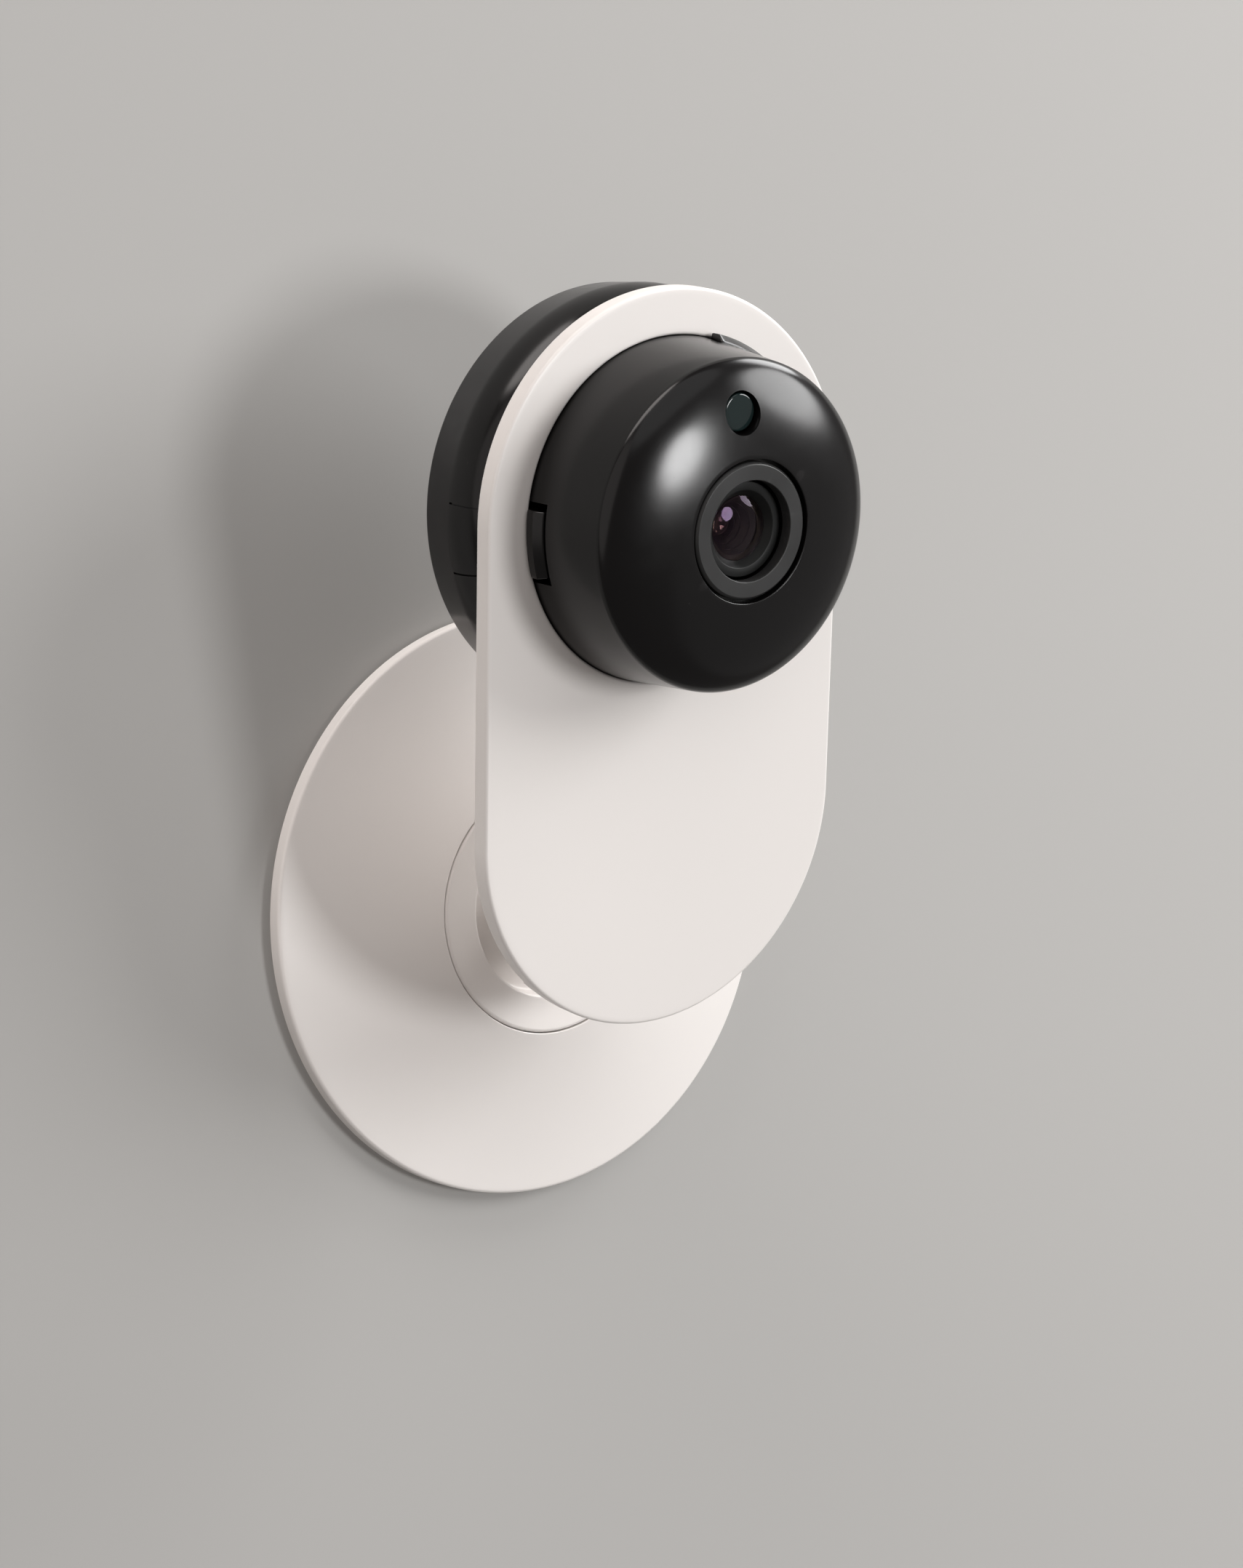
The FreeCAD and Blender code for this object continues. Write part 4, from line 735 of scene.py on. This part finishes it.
class CAMERA_OT_front_shell(Operator):
    """Build the barrel and the domed face of the head, with the sleeve around the window"""
    bl_idname = "camera_model.front_shell"
    bl_label = "Front shell"

    def execute(self, context):
        s = context.scene.camera_head
        rim = -s.dome_start
        taper_start = -0.3 * MM
        inner = s.dome_radius - s.wall
        inner_start = rim + 1.1 * MM
        inner_height = s.dome_height - 1.3 * MM
        collar = s.groove_radius + s.wall
        seat = s.ring_seat - 1.5 * MM
        bore = s.ring_bore + 0.15 * MM
        dome = ellipse_arc(s.dome_radius, s.dome_height, rim, s.groove_radius, 40)
        profile = [(s.barrel_radius - s.wall, s.barrel_back), (s.barrel_radius, s.barrel_back),
                   (s.barrel_radius, taper_start), (s.dome_radius, rim)]
        profile += dome + [(s.groove_radius, -s.ring_seat), (bore, -s.ring_seat),
                           (bore, -seat), (collar, -seat)]
        profile += ellipse_arc(inner, inner_height, inner_start, collar, 10)[::-1] + [(inner, inner_start)]
        bm = bmesh.new()
        spun(bm, profile, steps=192)
        round_ring(bm, *dome[-1], HAIR_ROUND, 3)
        tool = bmesh.new()
        half = s.notch_width / 2
        for angle in hook_angles(context):
            notch = brick(tool, (s.barrel_radius - 2.5 * s.wall, -s.notch_front, -half),
                          (s.barrel_radius + s.wall, s.barrel_back + s.wall, half))
            turn(tool, notch, angle)
        cylinder(tool, s.window_hole, (0, rim - 2 * s.dome_height, s.window_offset),
                 (0, rim + s.wall, s.window_offset), 64)
        cylinder(tool, s.microphone_hole, (0, -s.microphone_depth, -s.barrel_radius - s.wall),
                 (0, -s.microphone_depth, -s.barrel_radius + 3 * s.wall), 24)
        piece = to_object(carved(bm, tool), "head_front", HEAD)
        dressed(piece, "camera", "black_plastic", "front_shell")

        sleeve_bore = s.window_hole + 0.02 * MM
        sleeve_outer = s.window_hole + 0.9 * MM
        sleeve_front = rim - s.dome_height * 0.3
        floor_bore = 1.0 * MM
        floor_front = rim - 0.3 * MM
        floor_back = rim - 0.1 * MM
        sleeve = bmesh.new()
        spun(sleeve, [(sleeve_bore, sleeve_front), (sleeve_outer, sleeve_front),
                      (sleeve_outer, floor_back), (floor_bore, floor_back),
                      (floor_bore, floor_front), (sleeve_bore, floor_front)], steps=64)
        sleeve = to_object(sleeve, "window_sleeve", HEAD @ Matrix.Translation((0, 0, s.window_offset)))
        dressed(sleeve, "camera", "black_plastic")
        return {"FINISHED"}


class CAMERA_OT_rear_housing(Operator):
    """Build the rear housing with its hooks and fine slits"""
    bl_idname = "camera_model.rear_housing"
    bl_label = "Rear housing"

    def execute(self, context):
        s = context.scene.camera_housing
        head = context.scene.camera_head
        opening = head.barrel_radius + 0.08 * MM
        ledge_bore = s.recess_radius - 1.4 * MM
        ledge_front = s.recess_depth - 1.0 * MM
        corner_radius = s.cavity_radius - 1.0 * MM
        recess_round = 0.2 * MM
        shoulder = []
        for share in shares(24):
            angle = math.pi / 2 * share
            shoulder.append((s.neck_radius + (s.radius - s.neck_radius) * math.sin(angle),
                             s.edge_depth - (s.edge_depth - s.front) * math.cos(angle)))
        profile = [(opening, s.front)] + shoulder + [
            (s.back_radius, s.back_depth), (s.recess_radius, s.back_depth), (s.recess_radius, s.recess_depth),
            (ledge_bore, s.recess_depth), (ledge_bore, ledge_front), (s.cavity_radius, ledge_front),
            (s.cavity_radius, s.edge_depth), (corner_radius, s.flange_depth), (s.flange_bore, s.flange_depth),
            (s.flange_bore, head.barrel_back), (opening, head.barrel_back)]
        bm = bmesh.new()
        spun(bm, profile, steps=192)
        round_ring(bm, s.back_radius, s.back_depth, s.back_round, 5)
        round_ring(bm, s.recess_radius, s.back_depth, recess_round, 2)

        tool = bmesh.new()
        slit_floor = s.slit_depth * 0.7
        outer = [(radius + s.slit_depth, depth - s.slit_depth) for radius, depth in shoulder[2:]]
        inner = [(radius - slit_floor, depth + slit_floor) for radius, depth in shoulder[2:]]
        sweep = s.slit_width / s.radius
        for middle in hook_angles(context):
            for side in (-1, 1):
                angle = middle + side * (s.hook_width / 2 + s.slit_width) / s.radius - sweep / 2
                cut = bmesh.new()
                spun(cut, outer + inner[::-1], steps=1, start=angle, sweep=sweep)
                added(tool, cut)
        slot_front = 10.15 * MM
        half = s.card_slot_length / 2
        brick(tool, (s.cavity_radius - s.radius * 0.1, slot_front, -half),
              (s.radius * OVERSHOOT, slot_front + s.card_slot_height, half))
        bm = carved(bm, tool)

        root = 5.7 * MM
        catch = -0.3 * MM
        hook_round = 0.18 * MM
        bite = s.hook_outer + s.hook_bite
        hook = [(s.hook_inner, root), (s.hook_outer, root), (s.hook_outer, catch), (bite, catch),
                (bite, catch - s.hook_face), (s.hook_outer, -s.hook_front), (s.hook_inner, -s.hook_front)]
        sweep = s.hook_width / s.hook_outer
        for middle in hook_angles(context):
            part = bmesh.new()
            spun(part, hook, steps=14, start=middle - sweep / 2, sweep=sweep)
            round_sharp(part, hook_round, segments=3)
            added(bm, part)
        piece = to_object(bm, "head_rear", HEAD)
        dressed(piece, "camera", "black_plastic", "rear_housing")
        return {"FINISHED"}


class CAMERA_OT_lens(Operator):
    """Build the lens ring, the lens tube and its two glasses"""
    bl_idname = "camera_model.lens"
    bl_label = "Lens"

    def execute(self, context):
        s = context.scene.camera_head
        bevel_start = -s.ring_face + s.ring_bevel
        bevel_radius = s.ring_radius - s.ring_bevel
        bm = bmesh.new()
        spun(bm, [(s.ring_bore, -s.ring_seat), (s.ring_radius, -s.ring_seat), (s.ring_radius, bevel_start),
                  (bevel_radius, -s.ring_face), (s.ring_bore, -s.ring_face)], steps=128)
        round_ring(bm, s.ring_bore, -s.ring_face, HAIR_ROUND, 3)
        round_ring(bm, s.ring_radius, bevel_start, FINE_ROUND, 2)
        round_ring(bm, bevel_radius, -s.ring_face, FINE_ROUND, 2)
        dressed(to_object(bm, "lens_ring", HEAD), "camera", "ring_grey", "lens_bezel")

        glass_back = s.glass_edge - s.glass_thickness
        bore = s.glass_radius + 0.05 * MM
        baffle_count = 4
        land = s.baffle_pitch * 0.3
        baffles = []
        for index in range(baffle_count):
            wide = s.stop_radius - (s.stop_radius - s.aperture) * index / baffle_count
            narrow = s.stop_radius - (s.stop_radius - s.aperture) * (index + 1) / baffle_count
            depth = -glass_back + s.baffle_pitch * index
            baffles += [(wide, depth), (wide, depth + land), (narrow, depth + s.baffle_pitch)]
        stop_back = baffles[-1][1] + 0.3 * MM
        rear_bore = 3.9 * MM
        rear_depth = -4.35 * MM
        face_round = 0.15 * MM
        bm = bmesh.new()
        spun(bm, [(rear_bore, -s.lens_back), (s.lens_radius, -s.lens_back), (s.lens_radius, -s.lens_face),
                  (s.lens_rim, -s.lens_face), (bore, -s.glass_edge), (bore, -glass_back)] + baffles + [
                  (s.aperture, stop_back), (s.stop_radius, stop_back), (s.stop_radius, rear_depth),
                  (rear_bore, rear_depth)], steps=128)
        round_ring(bm, s.lens_radius, -s.lens_face, face_round, 3)
        round_ring(bm, s.lens_rim, -s.lens_face, FINE_ROUND, 2)
        dressed(to_object(bm, "lens_tube", HEAD), "camera", "lens_tube", "lens_barrel")

        back_share = 0.6
        inner_seat = -glass_back + s.baffle_pitch * 2.6
        inner_thickness = 0.9 * MM
        bm = bmesh.new()
        front = bulge(s.glass_radius, -s.glass_edge, -s.glass_crown, 24)
        back = bulge(s.glass_radius, -glass_back, -s.glass_crown * back_share, 16)
        spun(bm, front[::-1] + back, steps=96, closed=False)
        dressed(to_object(bm, "front_glass", HEAD), "camera", "lens_glass", "front_lens", smooth=50)
        bm = bmesh.new()
        front = bulge(s.inner_radius, inner_seat, -s.inner_crown, 20)
        back = bulge(s.inner_radius, inner_seat + inner_thickness, s.inner_crown * back_share, 12)
        spun(bm, front[::-1] + back, steps=64, closed=False)
        dressed(to_object(bm, "inner_glass", HEAD), "camera", "lens_glass", smooth=50)
        return {"FINISHED"}


class CAMERA_OT_window(Operator):
    """Build the dark window above the lens"""
    bl_idname = "camera_model.window"
    bl_label = "Window"

    def execute(self, context):
        s = context.scene.camera_head
        crown = -s.window_face - 0.02 * MM
        crown_edge = -s.window_face - 0.015 * MM
        flange_radius = 2.9 * MM
        flange_front = -12.0 * MM
        flange_back = -11.2 * MM
        rod_radius = 1.8 * MM
        rod_back = -1.0 * MM
        edge_round = 0.25 * MM
        bm = bmesh.new()
        spun(bm, [(0.0, crown), (s.window_radius * 0.6, crown_edge), (s.window_radius, -s.window_face),
                  (s.window_radius, flange_front), (flange_radius, flange_front),
                  (flange_radius, flange_back), (rod_radius, flange_back),
                  (rod_radius, rod_back), (0.0, rod_back)], steps=72, closed=False)
        round_ring(bm, s.window_radius, -s.window_face, edge_round)
        piece = to_object(bm, "window_rod", HEAD @ Matrix.Translation((0, 0, s.window_offset)))
        dressed(piece, "camera", "window_dark", "night_window")
        return {"FINISHED"}


class CAMERA_OT_hardware(Operator):
    """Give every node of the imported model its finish"""
    bl_idname = "camera_model.hardware"
    bl_label = "Hardware"

    def execute(self, context):
        for entry in frame["record"]["subparts"]:
            node = frame["nodes"][entry["node"]]
            node.data.materials.clear()
            node.data.materials.append(finish(entry["material_slot"]))
        return {"FINISHED"}


# Wall, lights and camera. Azimuth 0 is in front of the wall and 90 on the right.

WALL_HALF = 3.0
WALL_GAP = 0.0002
WALL_ROUGHNESS = 0.9
WORLD_STRENGTH = 0.18
NEUTRAL = (1.0, 1.0, 1.0)
WARM = (1.0, 0.94, 0.91)
LIGHT_TARGET = Vector((0, -0.03, 0.03))

# Name, azimuth and elevation in degrees, distance and diameter in metres, power in watts, colour
LIGHTS = (
    ("front_light", 20, -3, 1.2, 0.29, 5.2, NEUTRAL),
    ("side_light", 54, 15, 1.2, 0.62, 9.2, NEUTRAL),
    ("strip_light", 80, 38, 1.2, 0.56, 9.0, NEUTRAL),
    ("over_light", -80, 70, 1.2, 0.90, 9.5, WARM),
    ("high_light", 0, 42, 1.6, 1.70, 4.6, NEUTRAL),
    ("low_light", 55, -20, 1.2, 1.35, 0.6, NEUTRAL),
    ("left_light", -60, 10, 1.6, 2.00, 5.4, WARM),
    ("back_light", 166, 20, 1.3, 1.13, 6.0, NEUTRAL),
)

# The camera's place is in the plate's own frame, from the centre of the plate's hole.
CAMERA_CENTRE = Vector((-0.2613, -0.3267, 0.0808))
CAMERA_AZIMUTH = -37.91
CAMERA_ELEVATION = 15.58
CAMERA_ROLL = 1.24
FOCAL_LENGTH = 77.57
SENSOR_WIDTH = 36.0
CLIP_START = 0.01


def direction(azimuth, elevation):
    """Unit vector towards an azimuth and an elevation in degrees."""
    turned = math.radians(azimuth)
    lift = math.radians(elevation)
    return Vector((math.sin(turned) * math.cos(lift), -math.cos(turned) * math.cos(lift), math.sin(lift)))


def backdrop_material():
    """Plain pale wall that is clear from behind and casts no shadow."""
    material = bpy.data.materials.new("backdrop")
    material.use_nodes = True
    tree = material.node_tree
    shader = tree.nodes["Principled BSDF"]
    shader.inputs["Base Color"].default_value = opaque(bpy.context.scene.camera_finishes.backdrop)
    shader.inputs["Roughness"].default_value = WALL_ROUGHNESS
    clear = tree.nodes.new("ShaderNodeBsdfTransparent")
    geometry = tree.nodes.new("ShaderNodeNewGeometry")
    blend = tree.nodes.new("ShaderNodeMixShader")
    path = tree.nodes.new("ShaderNodeLightPath")
    tree.links.new(calculated(tree, "MAXIMUM", geometry.outputs["Backfacing"], path.outputs["Is Shadow Ray"]),
                   blend.inputs["Fac"])
    tree.links.new(shader.outputs["BSDF"], blend.inputs[1])
    tree.links.new(clear.outputs["BSDF"], blend.inputs[2])
    tree.links.new(blend.outputs["Shader"], tree.nodes["Material Output"].inputs["Surface"])
    return material


def soft_light(name, azimuth, elevation, distance, diameter, power, tint):
    """Round area light that points at the object."""
    lamp = bpy.data.lights.new(name, "AREA")
    lamp.shape = "DISK"
    lamp.size = diameter
    lamp.energy = power
    lamp.color = tint
    made = bpy.data.objects.new(name, lamp)
    outward = direction(azimuth, elevation)
    made.location = LIGHT_TARGET + outward * distance
    made.rotation_euler = (-outward).to_track_quat("-Z", "Y").to_euler()
    bpy.context.scene.collection.objects.link(made)


def photo_camera(scene):
    """Camera at the photograph's place."""
    back = direction(CAMERA_AZIMUTH, CAMERA_ELEVATION)
    right = (-back).cross(Vector((0, 0, 1))).normalized()
    up = right.cross(-back)
    roll = math.radians(CAMERA_ROLL)
    turned_right = right * math.cos(roll) + up * math.sin(roll)
    turned_up = up * math.cos(roll) - right * math.sin(roll)
    rotation = Matrix((turned_right, turned_up, back)).transposed()
    data = bpy.data.cameras.new("photo_camera")
    data.lens = FOCAL_LENGTH
    data.sensor_width = SENSOR_WIDTH
    data.clip_start = CLIP_START
    made = bpy.data.objects.new("photo_camera", data)
    made.matrix_world = Matrix.Translation(HOLDER @ CAMERA_CENTRE) @ (HOLDER.to_3x3() @ rotation).to_4x4()
    scene.collection.objects.link(made)
    scene.camera = made


class CAMERA_OT_stage(Operator):
    """Set up the wall, the lights and the camera"""
    bl_idname = "camera_model.stage"
    bl_label = "Stage"

    def execute(self, context):
        scene = context.scene
        bm = bmesh.new()
        bmesh.ops.create_grid(bm, x_segments=1, y_segments=1, size=WALL_HALF, matrix=UPRIGHT)
        wall = to_object(bm, "backdrop", Matrix.Translation((0, WALL_GAP, 0)))
        wall.data.materials.append(backdrop_material())
        for light in LIGHTS:
            soft_light(*light)
        world = bpy.data.worlds.new("studio")
        scene.world = world
        world.use_nodes = True
        world.node_tree.nodes["Background"].inputs["Color"].default_value = opaque(WARM)
        world.node_tree.nodes["Background"].inputs["Strength"].default_value = WORLD_STRENGTH
        photo_camera(scene)
        scene.view_settings.view_transform = "Standard"
        return {"FINISHED"}


class CAMERA_PT_pieces(Panel):
    """Panel with one button for each operator"""
    bl_idname = "CAMERA_PT_pieces"
    bl_label = SIDEBAR
    bl_space_type = "VIEW_3D"
    bl_region_type = "UI"
    bl_category = SIDEBAR

    def draw(self, context):
        for operator in OPERATORS:
            self.layout.operator(operator.bl_idname)


GROUPS = {
    "camera_base": BaseSizes,
    "camera_plate": PlateSizes,
    "camera_head": HeadSizes,
    "camera_housing": HousingSizes,
    "camera_finishes": Finishes,
}
OPERATORS = (
    CAMERA_OT_stage,
    CAMERA_OT_hardware,
    CAMERA_OT_base,
    CAMERA_OT_turntable,
    CAMERA_OT_plate,
    CAMERA_OT_front_shell,
    CAMERA_OT_rear_housing,
    CAMERA_OT_lens,
    CAMERA_OT_window,
)


def register():
    for group in GROUPS.values():
        bpy.utils.register_class(group)
    for name, group in GROUPS.items():
        setattr(bpy.types.Scene, name, PointerProperty(type=group))
    for operator in OPERATORS:
        bpy.utils.register_class(operator)
    bpy.utils.register_class(CAMERA_PT_pieces)


def unregister():
    bpy.utils.unregister_class(CAMERA_PT_pieces)
    for operator in reversed(OPERATORS):
        bpy.utils.unregister_class(operator)
    for name, group in GROUPS.items():
        delattr(bpy.types.Scene, name)
        bpy.utils.unregister_class(group)


def main():
    register()
    for operator in OPERATORS:
        module, name = operator.bl_idname.split(".")
        getattr(getattr(bpy.ops, module), name)()


if __name__ == "__main__":
    main()
